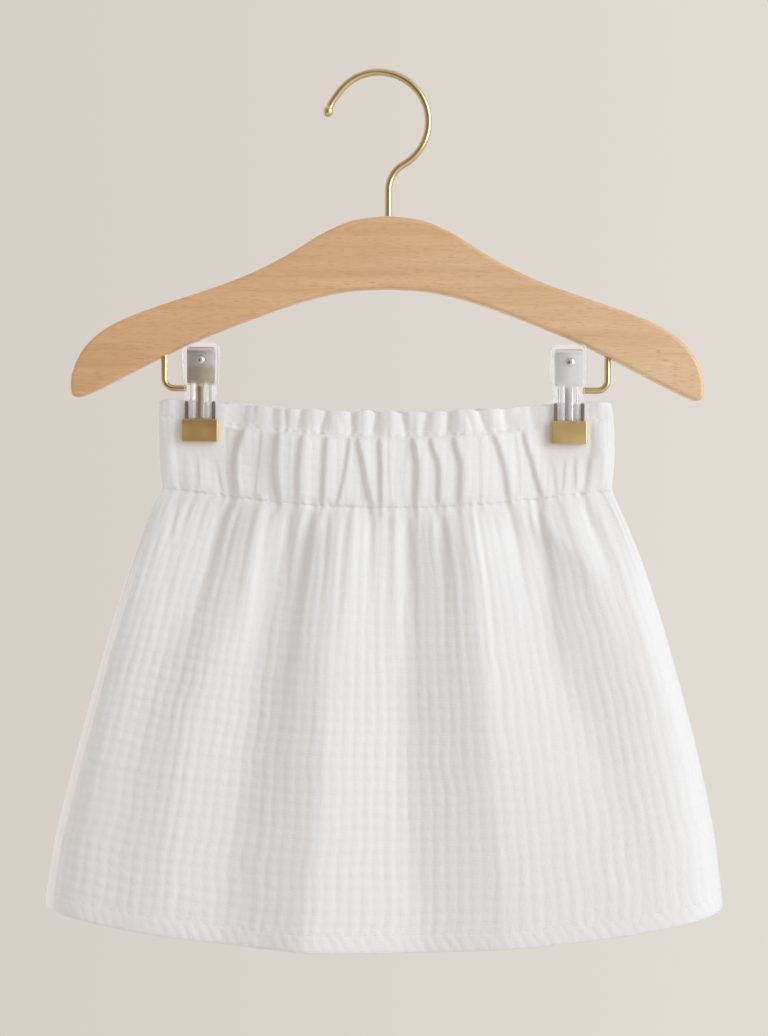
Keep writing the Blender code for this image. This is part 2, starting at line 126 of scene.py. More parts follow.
CLIP_X = {"left": 94.5, "right": 91.9}
JAW_WIDTH = 18.2
JAW_TOP = -174.5
JAW_HEIGHT = 11.7
JAW_THICK = 3.4
JAW_INSIDE = 2.5
SPRING_THICK = 0.5
RIB_X = 3.6
RIB_HALF = 1.4
LEAF_TOP = -135.7
LEAF_CORNER = 3.2         # radius of a leaf's top corners
LEAF_SECTIONS = (         # (height, half width, inner face from the middle, thickness, rib height)
    (-135.7, 9.2, 7.2, 1.8, 0.00),
    (-138.2, 9.2, 6.7, 1.8, 0.00),
    (-146.5, 9.2, 5.2, 1.9, 0.00),
    (-155.4, 9.0, 3.8, 1.9, 0.00),
    (-156.6, 8.4, 3.6, 1.9, 0.80),
    (-158.0, 7.9, 3.4, 1.8, 1.20),
    (-165.5, 7.8, 3.3, 1.8, 1.20),
    (-174.2, 7.8, 3.3, 1.8, 1.20),
)
SPRING_POINTS = (         # (from the middle plane, height, half width)
    (0.0, -138.2, 6.0),
    (4.4, -138.4, 6.4),
    (5.7, -139.6, 6.7),
    (4.65, -146.5, 6.7),
    (3.25, -155.2, 6.7),
    (3.05, -156.6, 6.4),
    (2.95, -157.2, 2.6),
    (2.85, -158.6, 2.1),
    (2.75, -165.5, 2.1),
    (2.75, -174.2, 2.1),
)
PRONG_X = 6.75            # the cap's two short prongs, held in the edges of the leaf
PRONG_HALF = 0.85
PRONG_TOP = -165.6

# ================================================================ folds
# The panels hang in broad folds.  One row for each line that runs from the seam to
# the hem along a crest or a trough; the cloth goes straight from line to line.
# Its place across is given at four runs, its height at five, then how softly it turns.
PLACE_RUNS = (0.05, 0.26, 0.56, 1.00)
HEIGHT_RUNS = (0.00, 0.09, 0.40, 0.72, 1.00)
FOLD_LINES = {
    # places across, heights, rounding
    "front": (
        ((-0.960, -0.970, -0.980, -0.980), (0.0, 3.2, 4.6, 4.2, 3.0), 2.5),
        ((-0.735, -0.758, -0.799, -0.800), (0.0, -2.0, -2.0, -1.1, -0.6), 4.0),
        ((-0.560, -0.580, -0.660, -0.670), (0.0, 3.4, 3.2, 2.2, 1.2), 6.0),
        ((-0.405, -0.438, -0.447, -0.465), (0.0, -3.0, -3.4, -2.4, -1.2), 5.0),
        ((-0.290, -0.300, -0.300, -0.340), (0.0, 4.4, 5.8, 5.2, 3.8), 3.5),
        ((-0.200, -0.208, -0.206, -0.240), (0.0, 7.0, 8.2, 9.4, 9.4), 4.0),
        ((0.074, 0.070, 0.065, 0.110), (0.0, -1.4, -2.0, -2.0, -1.6), 5.0),
        ((0.345, 0.330, 0.330, 0.360), (0.0, 7.6, 7.4, 4.8, 2.6), 3.5),
        ((0.565, 0.575, 0.670, 0.780), (0.0, -3.0, -3.0, -1.2, -0.6), 6.0),
        ((0.640, 0.880, 0.960, 0.975), (0.0, 3.6, 2.8, 0.6, -0.6), 4.0),
    ),
    "back": (
        ((-0.900, -0.905, -0.915, -0.930), (0.0, 1.6, 1.4, 1.0, 0.6), 5.0),
        ((-0.700, -0.720, -0.760, -0.790), (0.0, -1.8, -1.8, -1.2, -0.6), 5.0),
        ((-0.520, -0.545, -0.590, -0.620), (0.0, 4.2, 4.0, 2.8, 1.2), 5.0),
        ((-0.300, -0.320, -0.360, -0.390), (0.0, -1.8, -2.2, -1.6, -0.8), 4.0),
        ((-0.090, -0.080, -0.070, -0.110), (0.0, 5.6, 6.0, 4.2, 1.8), 4.0),
        ((0.190, 0.180, 0.160, 0.150), (0.0, -1.6, -2.0, -1.4, -0.6), 4.0),
        ((0.405, 0.420, 0.450, 0.480), (0.0, 5.8, 5.6, 3.6, 1.6), 3.5),
        ((0.630, 0.660, 0.710, 0.760), (0.0, -2.0, -2.0, -1.2, -0.5), 6.0),
        ((0.830, 0.850, 0.890, 0.930), (0.0, 2.8, 2.2, 1.2, 0.6), 5.0),
    ),
}

# One row for each gather that runs down from the seam:
# (place at the seam, place where it fades, run where it fades, depth, half width at the seam, where it fades)
GATHERS = {
    "front": (
        (-0.965, -0.900, 0.30, 0.50, 0.013, 0.020),
        (-0.918, -0.770, 0.44, 0.70, 0.013, 0.024),
        (-0.850, -0.825, 0.30, 0.95, 0.013, 0.020),
        (-0.790, -0.795, 0.18, 0.60, 0.012, 0.018),
        (-0.732, -0.725, 0.13, 0.75, 0.012, 0.018),
        (-0.695, -0.722, 0.56, 2.40, 0.017, 0.034),
        (-0.640, -0.660, 0.40, 0.60, 0.014, 0.020),
        (-0.574, -0.578, 0.40, 0.35, 0.013, 0.018),
        (-0.505, -0.500, 0.16, 0.40, 0.012, 0.016),
        (-0.422, -0.370, 0.36, 1.35, 0.016, 0.022),
        (-0.326, -0.380, 0.62, 2.20, 0.017, 0.036),
        (-0.258, -0.244, 0.34, 1.10, 0.015, 0.028),
        (-0.168, -0.184, 0.40, 0.55, 0.014, 0.018),
        (-0.066, -0.052, 0.42, 1.20, 0.017, 0.022),
        (0.004, 0.006, 0.08, 0.60, 0.012, 0.014),
        (0.088, 0.106, 0.56, 1.20, 0.016, 0.028),
        (0.182, 0.152, 0.44, 0.10, 0.014, 0.018),
        (0.238, 0.206, 0.46, 1.70, 0.016, 0.036),
        (0.303, 0.300, 0.46, 0.50, 0.013, 0.018),
        (0.396, 0.378, 0.70, 0.36, 0.011, 0.016),
        (0.468, 0.455, 0.20, 0.30, 0.012, 0.014),
        (0.536, 0.520, 0.42, 0.90, 0.015, 0.020),
        (0.614, 0.560, 0.30, 0.75, 0.014, 0.022),
        (0.660, 0.566, 0.48, 2.40, 0.015, 0.040),
        (0.765, 0.755, 0.10, 0.12, 0.012, 0.016),
        (0.815, 0.805, 0.14, 0.20, 0.012, 0.018),
        (0.856, 0.876, 0.46, 1.75, 0.022, 0.034),
        (0.950, 0.935, 0.22, 0.40, 0.012, 0.018),
    ),
    "back": (
        (-0.950, -0.920, 0.28, 0.50, 0.013, 0.018),
        (-0.900, -0.880, 0.34, 0.65, 0.013, 0.020),
        (-0.842, -0.800, 0.20, 0.55, 0.012, 0.018),
        (-0.770, -0.780, 0.46, 1.20, 0.016, 0.024),
        (-0.702, -0.700, 0.24, 0.70, 0.013, 0.018),
        (-0.640, -0.655, 0.56, 1.60, 0.017, 0.032),
        (-0.560, -0.545, 0.30, 0.80, 0.014, 0.018),
        (-0.488, -0.450, 0.18, 0.50, 0.012, 0.016),
        (-0.430, -0.440, 0.42, 1.20, 0.015, 0.022),
        (-0.344, -0.310, 0.36, 0.85, 0.014, 0.020),
        (-0.262, -0.268, 0.60, 1.60, 0.018, 0.034),
        (-0.176, -0.150, 0.26, 0.70, 0.013, 0.018),
        (-0.110, -0.112, 0.46, 1.10, 0.015, 0.022),
        (-0.020, -0.006, 0.22, 0.50, 0.013, 0.016),
        (0.058, 0.048, 0.40, 0.95, 0.015, 0.020),
        (0.132, 0.168, 0.60, 1.55, 0.017, 0.034),
        (0.222, 0.214, 0.30, 0.75, 0.014, 0.018),
        (0.288, 0.262, 0.44, 1.15, 0.015, 0.022),
        (0.366, 0.378, 0.20, 0.55, 0.012, 0.016),
        (0.430, 0.415, 0.38, 0.95, 0.015, 0.020),
        (0.512, 0.556, 0.58, 1.45, 0.017, 0.034),
        (0.598, 0.590, 0.26, 0.75, 0.014, 0.018),
        (0.662, 0.690, 0.42, 1.05, 0.015, 0.022),
        (0.735, 0.728, 0.18, 0.60, 0.012, 0.016),
        (0.806, 0.800, 0.36, 0.80, 0.014, 0.020),
        (0.872, 0.858, 0.28, 0.60, 0.013, 0.018),
        (0.930, 0.905, 0.24, 0.50, 0.012, 0.018),
    ),
}

# One row for each narrow ridge that stands up between gathers:
# (place at the seam, place where it fades, run where it fades, height, half width)
RIDGES = {
    "front": (
        (-0.548, -0.520, 0.36, 1.20, 0.030),
        (-0.362, -0.374, 0.14, 0.45, 0.014),
        (-0.283, -0.252, 0.30, 0.25, 0.014),
        (-0.142, -0.150, 0.34, 0.90, 0.024),
        (0.040, 0.030, 0.40, 0.80, 0.018),
        (0.140, 0.132, 0.18, 0.35, 0.014),
        (0.374, 0.362, 0.55, 0.50, 0.014),
        (0.576, 0.580, 0.24, 0.45, 0.022),
        (0.772, 0.790, 0.34, 0.60, 0.026),
    ),
    "back": (
        (-0.595, -0.600, 0.40, 0.60, 0.020),
        (-0.300, -0.290, 0.34, 0.60, 0.020),
        (0.095, 0.110, 0.80, 0.55, 0.015),
        (0.330, 0.322, 0.30, 0.55, 0.020),
        (0.560, 0.575, 0.36, 0.60, 0.022),
    ),
}

# One row for each fold of the waistband, as distances from the middle:
# (at the top edge, at the stitch row, halfway down the casing, at the seam,
#  depth in the header, depth in the casing, half width)
BAND_FOLDS = {
    "front": (
        (-105.5, -105.0, -104.0, -104.5, 0.0, 0.30, 1.6),
        (-97.0, -97.0, -96.6, -97.0, 0.0, 0.45, 1.6),
        (-88.5, -88.5, -87.6, -84.6, 0.0, 0.60, 2.0),
        (-82.0, -82.0, -82.4, -81.0, 0.0, 0.35, 1.6),
        (-72.6, -73.8, -78.2, -78.4, 1.3, 2.40, 2.6),
        (-66.5, -64.5, -66.2, -68.6, 0.3, 0.50, 1.8),
        (-57.0, -56.6, -57.6, -56.4, 1.3, 1.90, 2.7),
        (-50.5, -50.0, -50.5, -51.5, 0.8, 0.25, 1.6),
        (-42.4, -44.2, -46.0, -46.8, 1.4, 1.85, 2.8),
        (-30.0, -32.2, -33.4, -34.6, 1.3, 1.55, 2.6),
        (-23.8, -20.6, -22.8, -26.8, 0.3, 0.95, 2.0),
        (-17.0, -16.6, -13.4, -9.6, 1.5, 1.75, 2.3),
        (-4.6, -5.8, -5.0, -4.8, 1.7, 1.50, 2.3),
        (0.6, -1.0, -0.6, 1.0, 0.2, 0.25, 1.4),
        (8.6, 10.6, 13.2, 12.8, 1.5, 1.85, 2.6),
        (15.4, 13.6, 5.4, 6.0, 0.2, 0.15, 1.5),
        (21.0, 19.8, 23.9, 24.3, 1.3, 1.55, 2.6),
        (32.2, 31.4, 35.0, 34.9, 1.6, 1.65, 2.6),
        (41.2, 44.6, 45.0, 46.0, 0.4, 0.35, 1.7),
        (48.8, 51.2, 56.6, 60.2, 1.5, 1.60, 2.5),
        (62.0, 62.6, 65.0, 66.0, 1.5, 0.35, 2.0),
        (68.8, 67.0, 71.0, 77.2, 0.4, 1.40, 2.3),
        (74.5, 76.0, 81.6, 85.0, 0.5, 0.45, 2.0),
        (84.0, 85.0, 88.0, 87.6, 0.0, 0.35, 1.6),
        (93.0, 93.0, 93.4, 94.6, 0.0, 0.60, 1.8),
        (102.6, 102.0, 100.4, 99.6, 0.4, 1.05, 2.2),
        (107.5, 107.0, 107.0, 107.5, 0.0, 0.15, 1.6),
    ),
    "back": (
        (-104.5, -104.5, -104.0, -104.0, 0.0, 0.40, 1.7),
        (-94.0, -94.0, -93.0, -92.0, 0.0, 0.50, 1.8),
        (-83.0, -83.5, -85.0, -84.0, 0.2, 0.80, 2.0),
        (-75.0, -75.5, -76.0, -77.5, 1.2, 1.60, 2.5),
        (-67.0, -66.0, -66.5, -65.5, 1.3, 0.60, 1.9),
        (-60.0, -60.5, -61.0, -60.0, 1.4, 1.55, 2.5),
        (-48.0, -48.5, -48.0, -49.5, 1.5, 1.80, 2.7),
        (-40.0, -40.0, -41.5, -40.5, 1.1, 0.50, 1.7),
        (-33.0, -33.5, -33.5, -34.0, 1.3, 1.60, 2.5),
        (-24.5, -25.0, -23.0, -23.0, 1.4, 0.70, 1.9),
        (-17.0, -17.5, -17.0, -16.0, 1.5, 1.75, 2.7),
        (-3.5, -3.5, -4.0, -3.0, 1.3, 1.60, 2.5),
        (3.0, 3.5, 5.5, 6.0, 0.9, 0.45, 1.6),
        (9.5, 9.5, 10.5, 10.0, 1.5, 1.55, 2.4),
        (18.0, 17.5, 17.0, 18.0, 1.0, 0.55, 1.8),
        (24.5, 24.5, 25.0, 24.0, 1.6, 1.85, 2.8),
        (33.0, 32.5, 33.5, 35.0, 1.2, 0.60, 1.8),
        (40.0, 40.0, 39.5, 40.5, 1.4, 1.60, 2.6),
        (54.0, 54.0, 54.5, 53.5, 1.5, 1.65, 2.6),
        (61.5, 62.0, 60.5, 60.0, 1.2, 0.55, 1.8),
        (67.5, 67.5, 68.5, 69.5, 1.4, 1.60, 2.5),
        (76.5, 77.0, 79.0, 79.5, 0.6, 0.90, 2.1),
        (89.0, 89.0, 89.5, 89.0, 0.0, 0.50, 1.8),
        (98.5, 98.5, 98.0, 98.5, 0.0, 0.55, 1.8),
        (107.0, 107.0, 106.5, 107.0, 0.0, 0.35, 1.6),
    ),
}

HEADER_FOLD = 2.9         # strength of the folds above
CASING_FOLD = 2.75
CREASE_SHIFT = 1.2
CASING_SHIFT = 1.5
GATHER_DEPTH = 1.05
STITCH_PITCH = 4.7        # along the row, the seam and the hem
RIBS = 56                 # crinkle ribs across a panel
GROOVES = 37              # crinkle grooves from the seam to the hem
RIB_HEIGHT = 0.30
GROOVE_HEIGHT = 0.17

# Where the crinkle is stronger or weaker than usual:
# (place across, run, reach across, reach along, change of rib strength, change of groove strength)
CRINKLE_PATCHES = {
    "front": (
        (-0.62, 0.75, 0.34, 0.34, 0.30, 0.55),
        (-0.75, 0.30, 0.20, 0.22, 0.25, 0.35),
        (-0.48, 0.25, 0.07, 0.24, -0.60, -0.30),
        (-0.05, 0.65, 0.28, 0.40, 0.05, 0.25),
        (-0.20, 0.80, 0.10, 0.16, -0.35, -0.10),
        (0.42, 0.60, 0.16, 0.40, -0.20, -0.35),
        (0.72, 0.62, 0.26, 0.46, -0.15, -0.60),
        (0.55, 0.15, 0.20, 0.14, -0.30, -0.20),
    ),
    "back": (
        (-0.60, 0.60, 0.26, 0.36, 0.25, 0.35),
        (-0.20, 0.30, 0.16, 0.22, -0.35, -0.20),
        (0.10, 0.75, 0.26, 0.30, 0.10, 0.35),
        (0.45, 0.45, 0.18, 0.30, -0.20, -0.40),
        (0.74, 0.70, 0.22, 0.30, 0.25, 0.20),
    ),
}


# ================================================================ number helpers
def smooth(x):
    x = np.clip(x, 0.0, 1.0)
    return x * x * (3.0 - 2.0 * x)


def mix(a, b, share):
    return a + (b - a) * share


def through(rows, at, column):
    """A smooth curve through one column of a table, read at values of its first."""
    rows = np.array(rows, float)
    place, value = rows[:, 0], rows[:, column]
    step = np.diff(place)
    rate = np.diff(value) / step
    slope = np.zeros(len(place))
    slope[0], slope[-1] = rate[0], rate[-1]
    same = rate[:-1] * rate[1:] > 0.0
    slope[1:-1][same] = (2.0 * rate[:-1] * rate[1:])[same] / (rate[:-1] + rate[1:])[same]
    at = np.clip(at, place[0], place[-1])
    i = np.clip(np.searchsorted(place, at, side="right") - 1, 0, len(step) - 1)
    s = (at - place[i]) / step[i]
    return ((2 * s ** 3 - 3 * s ** 2 + 1) * value[i] + (s ** 3 - 2 * s ** 2 + s) * step[i] * slope[i]
            + (3 * s ** 2 - 2 * s ** 3) * value[i + 1] + (s ** 3 - s ** 2) * step[i] * slope[i + 1])


def noise(u, v, seed):
    """Smooth unevenness from -1 to 1 with one knot for each whole step of u and v."""
    knots = np.random.default_rng(seed).uniform(-1.0, 1.0, (97, 89))
    iu, iv = np.floor(u).astype(int), np.floor(v).astype(int)
    fu, fv = u - iu, v - iv
    fu, fv = fu * fu * (3 - 2 * fu), fv * fv * (3 - 2 * fv)
    a = knots[iu % 97, iv % 89]
    b = knots[(iu + 1) % 97, iv % 89]
    c = knots[iu % 97, (iv + 1) % 89]
    d = knots[(iu + 1) % 97, (iv + 1) % 89]
    return (a * (1 - fu) + b * fu) * (1 - fv) + (c * (1 - fu) + d * fu) * fv


def trough(distance, half_width):
    """A soft trough, steeper on its right wall, as a share of its full depth."""
    reach = np.where(distance > 0.0, half_width * 0.82, half_width * 1.25)
    return np.exp(-(distance / reach) ** 2)


# ================================================================ cloth forms
def sag(q):
    return np.maximum(0.0, 1.0 - q * q) ** SAG_POWER


def past_clip(q):
    """Distance outward from the middle of the clip on the same half."""
    return np.abs(q) * WAIST_HALF - np.where(q < 0.0, CLIP_X["left"], CLIP_X["right"])


def pinch(q):
    """1 where a clip presses front and back together, 0 where they are free."""
    off = past_clip(q)
    return np.where(off < 0.0, 1.0 - smooth((-off - PINCH_HALF) / 42.0),
                    1.0 - smooth((off - PINCH_HALF) / 7.0))


def rounded(q, power):
    return np.sqrt(np.maximum(0.0, 1.0 - np.abs(q) ** power))


def band_form(q, t, side):
    """The waistband without folds: x, depth from the middle plane, z, and how free it is."""
    lines = BAND_LINES[side]
    free = (1.0 - pinch(q)) * smooth((1.0 - np.abs(q)) / 0.06)
    top = lines["top"][0] - lines["top"][1] * sag(q)
    row = lines["row"][0] - lines["row"][1] * sag(q)
    seam = lines["seam"][0] - lines["seam"][1] * sag(q)
    s = np.clip(t / HEADER_SHARE, 0.0, 1.0)
    r = np.clip((t - HEADER_SHARE) / (1.0 - HEADER_SHARE), 0.0, 1.0)
    z = np.where(t < HEADER_SHARE, mix(top, row, s), mix(row, seam, r))
    swell = np.where(t < HEADER_SHARE, HEADER_FLARE * (1.0 - s), CASING_BULGE * np.sin(np.pi * r))
    open_depth = BAND_DEPTH * rounded(q, 6)
    outside = smooth((past_clip(q) - 2.0) / 12.0)
    open_depth = mix(open_depth, FLAP_DEPTH * rounded(q, np.where(q < 0.0, 9.0, 6.0)), outside)
    depth = mix(open_depth, PINCH_DEPTH, pinch(q))
    depth = mix(depth, open_depth, 0.35 * smooth((t - 0.55) / 0.45))
    depth = depth + swell * free
    width = np.where(q < 0.0, through(BAND_WIDTHS, t, 1), through(BAND_WIDTHS, t, 2))
    return AXIS_X + q * width, depth, z, free


def broad_folds(q, t, side, width):
    """Height of the broad folds: straight flanks from line to line, turned softly."""
    ends = (-np.ones_like(q), np.zeros_like(q), 1.0), (np.ones_like(q), np.zeros_like(q), 1.0)
    lines = [ends[0]]
    for places, heights, rounding in FOLD_LINES[side]:
        lines.append((through(list(zip(PLACE_RUNS, places)), t, 1),
                      through(list(zip(HEIGHT_RUNS, heights)), t, 1), rounding))
    lines.append(ends[1])
    slopes = [(b[1] - a[1]) / ((b[0] - a[0]) * width) for a, b in zip(lines, lines[1:])]
    total = slopes[0] * (q + 1.0) * width
    for before, after, (place, _, rounding) in zip(slopes, slopes[1:], lines[1:]):
        past = (q - place) * width
        total = total + (after - before) * 0.5 * (past + np.sqrt(past ** 2 + rounding ** 2))
    return total


def skirt_form(q, t, side):
    """A panel with its broad folds only: x, depth from the middle plane, z."""
    width = np.where(q < 0.0, through(SKIRT_WIDTHS, t, 1), through(SKIRT_WIDTHS, t, 2))
    lines = BAND_LINES[side]["seam"]
    drop = mix(lines[1] * sag(q), HEM_DROP * np.maximum(0.0, 1.0 - q * q) ** 0.9, t)
    z = lines[0] - GAP - t * (SIDE_LENGTH - GAP) - drop
    at_seam = band_form(q, np.ones_like(q), side)[1]
    full = mix(BAND_DEPTH, HEM_DEPTH[side], t ** 0.85)
    hanging = full * rounded(q, mix(4.0, np.where(q < 0.0, 10.0, 12.0), np.minimum(1.0, 2.0 * t)))
    depth = mix(at_seam, hanging, smooth(t / 0.38))
    depth = depth + broad_folds(q, t, side, width) * smooth((1.0 - np.abs(q)) / 0.04)
    return AXIS_X + q * width, depth, z


def band_folds(q, t, side):
    """How far the waistband stands out or in because of its folds, in header and casing."""
    at = q * WAIST_HALF
    s = smooth(t / HEADER_SHARE)
    header, casing = np.zeros_like(q), np.zeros_like(q)
    in_header = 1.0 - smooth((t - 0.75 * HEADER_SHARE) / (0.5 * HEADER_SHARE))
    in_casing = smooth((t - 0.85 * HEADER_SHARE) / (0.7 * HEADER_SHARE))
    for top, row, half, seam, header_depth, casing_depth, width in BAND_FOLDS[side]:
        path = through(((0.0, top), (HEADER_SHARE, row), (0.58, half), (1.0, seam)), t, 1)
        off = at - path
        # the header: soft pillows between sharp creases
        near = np.sqrt((off + CREASE_SHIFT) ** 2 + 0.7)
        header = header - HEADER_FOLD * header_depth * (1.15 - 0.15 * s) * np.exp(-near / (1.5 * width))
        # the casing: a steep step up on the left of each fold, then a long way down
        off = off - CASING_SHIFT
        step = off / np.sqrt(off ** 2 + (0.66 * width) ** 2)
        reach = np.where(off < 0.0, 3.0 * width, 2.3 * width)
        share = 0.46 + 0.18 * step
        casing = casing + CASING_FOLD * casing_depth * step * share * np.exp(-np.abs(off) / reach)
    return header * in_header + casing * in_casing


def crinkle(u, v, seed):
    """The gauze's puffed cells: u counts ribs, v counts grooves."""
    u = u + 0.22 * noise(u * 0.21, v * 0.33, seed) + 0.08 * noise(u * 0.9, v * 0.7, seed + 1)
    v = v + 0.20 * noise(u * 0.27, v * 0.24, seed + 2) + 0.07 * noise(u * 0.8, v * 0.9, seed + 3)
    rib = np.abs(np.sin(np.pi * u)) ** 0.85
    groove = np.abs(np.sin(np.pi * v)) ** 0.90
    rib_number, groove_number = np.floor(u), np.floor(v)
    rib_size = 0.95 + 0.45 * noise(rib_number * 7.31, v * 0.12, seed + 4) \
        + 0.30 * noise(rib_number * 3.17 + 0.5, v * 0.45, seed + 5)
    groove_size = 0.95 + 0.40 * noise(groove_number * 5.13, u * 0.10, seed + 6) \
        + 0.35 * noise(groove_number * 2.71 + 0.5, u * 0.40, seed + 7)
    return rib * np.maximum(0.1, rib_size), groove * np.maximum(0.1, groove_size)


def patches(q, t, side):
    ribs, grooves = np.ones_like(q), np.ones_like(q)
    for place, run, across, along, change_ribs, change_grooves in CRINKLE_PATCHES[side]:
        here = np.exp(-((q - place) / across) ** 2 - ((t - run) / along) ** 2)
        ribs, grooves = ribs + change_ribs * here, grooves + change_grooves * here
    return np.clip(ribs, 0.15, 2.0), np.clip(grooves, 0.12, 2.0)


def panel_folds(q, t, side):
    """How far the panel's skin stands out from its form because of gathers and ridges."""
    lift = np.zeros_like(q)
    for seam, end, run, depth, width_seam, width_end in GATHERS[side]:
        s = np.clip(t / run, 0.0, 1.6)
        path = mix(seam, end, np.minimum(s, 1.25))
        width = 1.12 * mix(width_seam, width_end, np.clip(1.5 * s, 0.0, 1.3))
        fade = np.exp(-(1.75 * s) ** 1.6) * (1.0 - smooth((s - 0.7) / 0.5))
        grow = 0.55 + 0.45 * smooth(t / 0.05)
        lift = lift - GATHER_DEPTH * depth * fade * grow * trough(q - path, width)
    for seam, end, run, height, width in RIDGES[side]:
        s = np.clip(t / run, 0.0, 1.4)
        path = mix(seam, end, np.minimum(s, 1.2))
        fade = 1.0 - smooth((s - 0.35) / 0.75)
        lift = lift + height * fade * np.exp(-((q - path) / (width * (0.8 + 0.4 * np.minimum(s, 1.0)))) ** 2)
    return lift


def seam_folds(q, side):
    """How far both cloths stand out or in along the seam that joins them."""
    return 0.50 * band_folds(q, np.ones_like(q), side) + 0.60 * panel_folds(q, np.zeros_like(q), side)


def along_cloth(q, side):
    """Place along the cloth in half widths: as across, but running on around the side edges."""
    places = np.linspace(-1.0, 1.0, 1601)
    x, depth = skirt_form(places, np.full_like(places, 0.7), side)[:2]
    run = np.concatenate([[0.0], np.cumsum(np.hypot(np.diff(x), np.diff(depth)))])
    run = 2.0 * run / (x[-1] - x[0])
    start = np.interp((-0.93, 0.93), places, run)
    past = np.interp(q, places, run)
    return np.where(q > 0.93, 0.93 + past - start[1], np.where(q < -0.93, -0.93 + past - start[0], q))


def panel_crinkle(q, t, side):
    """The gauze's crinkle and the hem's twists, as height above the panel's folds."""
    along = along_cloth(q, side)
    seed = 11 if side == "front" else 31
    reach = through(((0.0, 0.62), (0.12, 0.80), (0.4, 1.0), (1.0, 1.05)), t, 1)
    rib, groove = crinkle((along + 1.0) * RIBS / 2.0, t * GROOVES, seed)
    rib_patch, groove_patch = patches(q, t, side)
    grow = smooth(t / 0.05)
    lift = (RIB_HEIGHT * reach * rib_patch * rib * (0.62 + 0.38 * groove)
            + GROOVE_HEIGHT * groove_patch * groove * mix(0.4, 1.0, smooth((t - 0.05) / 0.3)))
    lift = (lift - 0.26) * grow
    # the hem: flat double cloth, twisted aslant between its fold and its stitches
    hem = smooth((t - (HEM_START - 0.004)) / 0.008)
    down = (t - HEM_START) / (1.0 - HEM_START)
    place = along * 29.0 - down * 0.85 + 0.35 * noise(along * 9.0, t * 0.0, seed + 9)
    twist = np.abs(np.sin(np.pi * place)) ** 0.8
    strength = 0.62 + 0.38 * noise(q * 11.0 + 5.0, t * 0.0, seed + 10)
    strength = strength * (1.0 - 0.45 * smooth((q - 0.25) / 0.4))
    band = 0.34 + 0.42 * (twist - 0.6) * strength + 0.10 * noise(q * 75.0, down * 2.5, seed + 11)
    lift = mix(lift, band, hem)
    # the stitched line above the hem's fold, drawn in at each stitch
    drawn = stitch_pull(q, HEM_HALF, seed + 12)
    lift = lift - (0.20 + 0.26 * drawn) * np.exp(-((t - HEM_START) / 0.0042) ** 2)
    # the lower fold turns in
    lift = lift - 0.45 * smooth((t - 0.990) / 0.010)
    # the gathered edge under the seam turns in
    held = smooth((1.0 - np.abs(q)) / 0.04)
    drawn = stitch_pull(q, WAIST_HALF, seed + 13)
    lift = lift - held * (0.25 + 0.40 * drawn) * (1.0 - smooth(t / 0.010))
    edge = smooth((1.0 - np.abs(q)) / 0.012)
    return lift * mix(0.25, 1.0, edge)


def stitch_pull(q, half, seed):
    """1 at the middle of each stitch of a row and 0 between stitches, unevenly."""
    count = round(2.0 * half / STITCH_PITCH)
    phase = (q + 1.0) * 0.5 * count
    off = np.abs(phase - np.floor(phase) - 0.5) * 2.0
    return smooth((0.72 - off) / 0.34) * (0.65 + 0.45 * noise(np.floor(phase) * 1.7, q * 0.0, seed))


def band_crinkle(q, t, side):
    seed = 51 if side == "front" else 71
    rib, groove = crinkle((q + 1.0) * 27.0, t * 8.2, seed)
    lift = 0.15 * rib + 0.10 * groove - 0.14
    # the stitched row between header and casing, drawn in at each stitch
    drawn = stitch_pull(q, WAIST_HALF, seed + 8)
    lift = lift - 0.22 * np.exp(-((t - HEADER_SHARE) / 0.030) ** 2)
    lift = lift - 0.50 * drawn * np.exp(-((t - HEADER_SHARE) / 0.014) ** 2)
    lift = lift + 0.16 * np.exp(-((t - HEADER_SHARE) / 0.05) ** 2) * noise(q * 62.0, t * 9.0, seed + 9)
    # the casing's lower edge turns in at the seam, with small puckers
    low = smooth((t - 0.90) / 0.10)
    held = smooth((1.0 - np.abs(q)) / 0.04)
    drawn = stitch_pull(q, WAIST_HALF, seed - 27)
    lift = lift - held * (0.22 + 0.38 * drawn) * smooth((t - 0.965) / 0.035) \
        + 0.15 * low * noise(q * 58.0, t * 0.0, seed + 10)
    return lift


# ================================================================ mesh makers
def mesh_object(name, points, faces4, faces3, finish, sharp=None):
    """A mesh from arrays, in metres.  Its faces are turned to point out."""
    mesh = bpy.data.meshes.new(name)
    faces4 = np.asarray(faces4, np.int32).reshape(-1, 4)
    faces3 = np.asarray(faces3, np.int32).reshape(-1, 3)
    loops = np.concatenate([faces4.ravel(), faces3.ravel()])
    starts = np.concatenate([np.arange(len(faces4)) * 4, len(faces4) * 4 + np.arange(len(faces3)) * 3])
    mesh.vertices.add(len(points))
    mesh.vertices.foreach_set("co", np.asarray(points, np.float32).ravel() * MM)
    mesh.loops.add(len(loops))
    mesh.loops.foreach_set("vertex_index", loops.astype(np.int32))
    mesh.polygons.add(len(starts))
    mesh.polygons.foreach_set("loop_start", starts.astype(np.int32))
    mesh.update(calc_edges=True)
    bm = bmesh.new()
    bm.from_mesh(mesh)
    bmesh.ops.recalc_face_normals(bm, faces=bm.faces)
    bm.to_mesh(mesh)
    bm.free()
    mesh.shade_smooth()
    if sharp is not None:
        mesh.set_sharp_from_angle(angle=radians(sharp))
    mesh.materials.append(finish)
    made = bpy.data.objects.new(name, mesh)
    bpy.context.collection.objects.link(made)
    return made


def grid_faces(rows, columns, start=0, wrap=False):
    index = start + np.arange(rows * columns).reshape(rows, columns)
    if wrap:
        index = np.concatenate([index, index[:, :1]], axis=1)
    return np.stack([index[:-1, :-1], index[:-1, 1:], index[1:, 1:], index[1:, :-1]], -1).reshape(-1, 4)


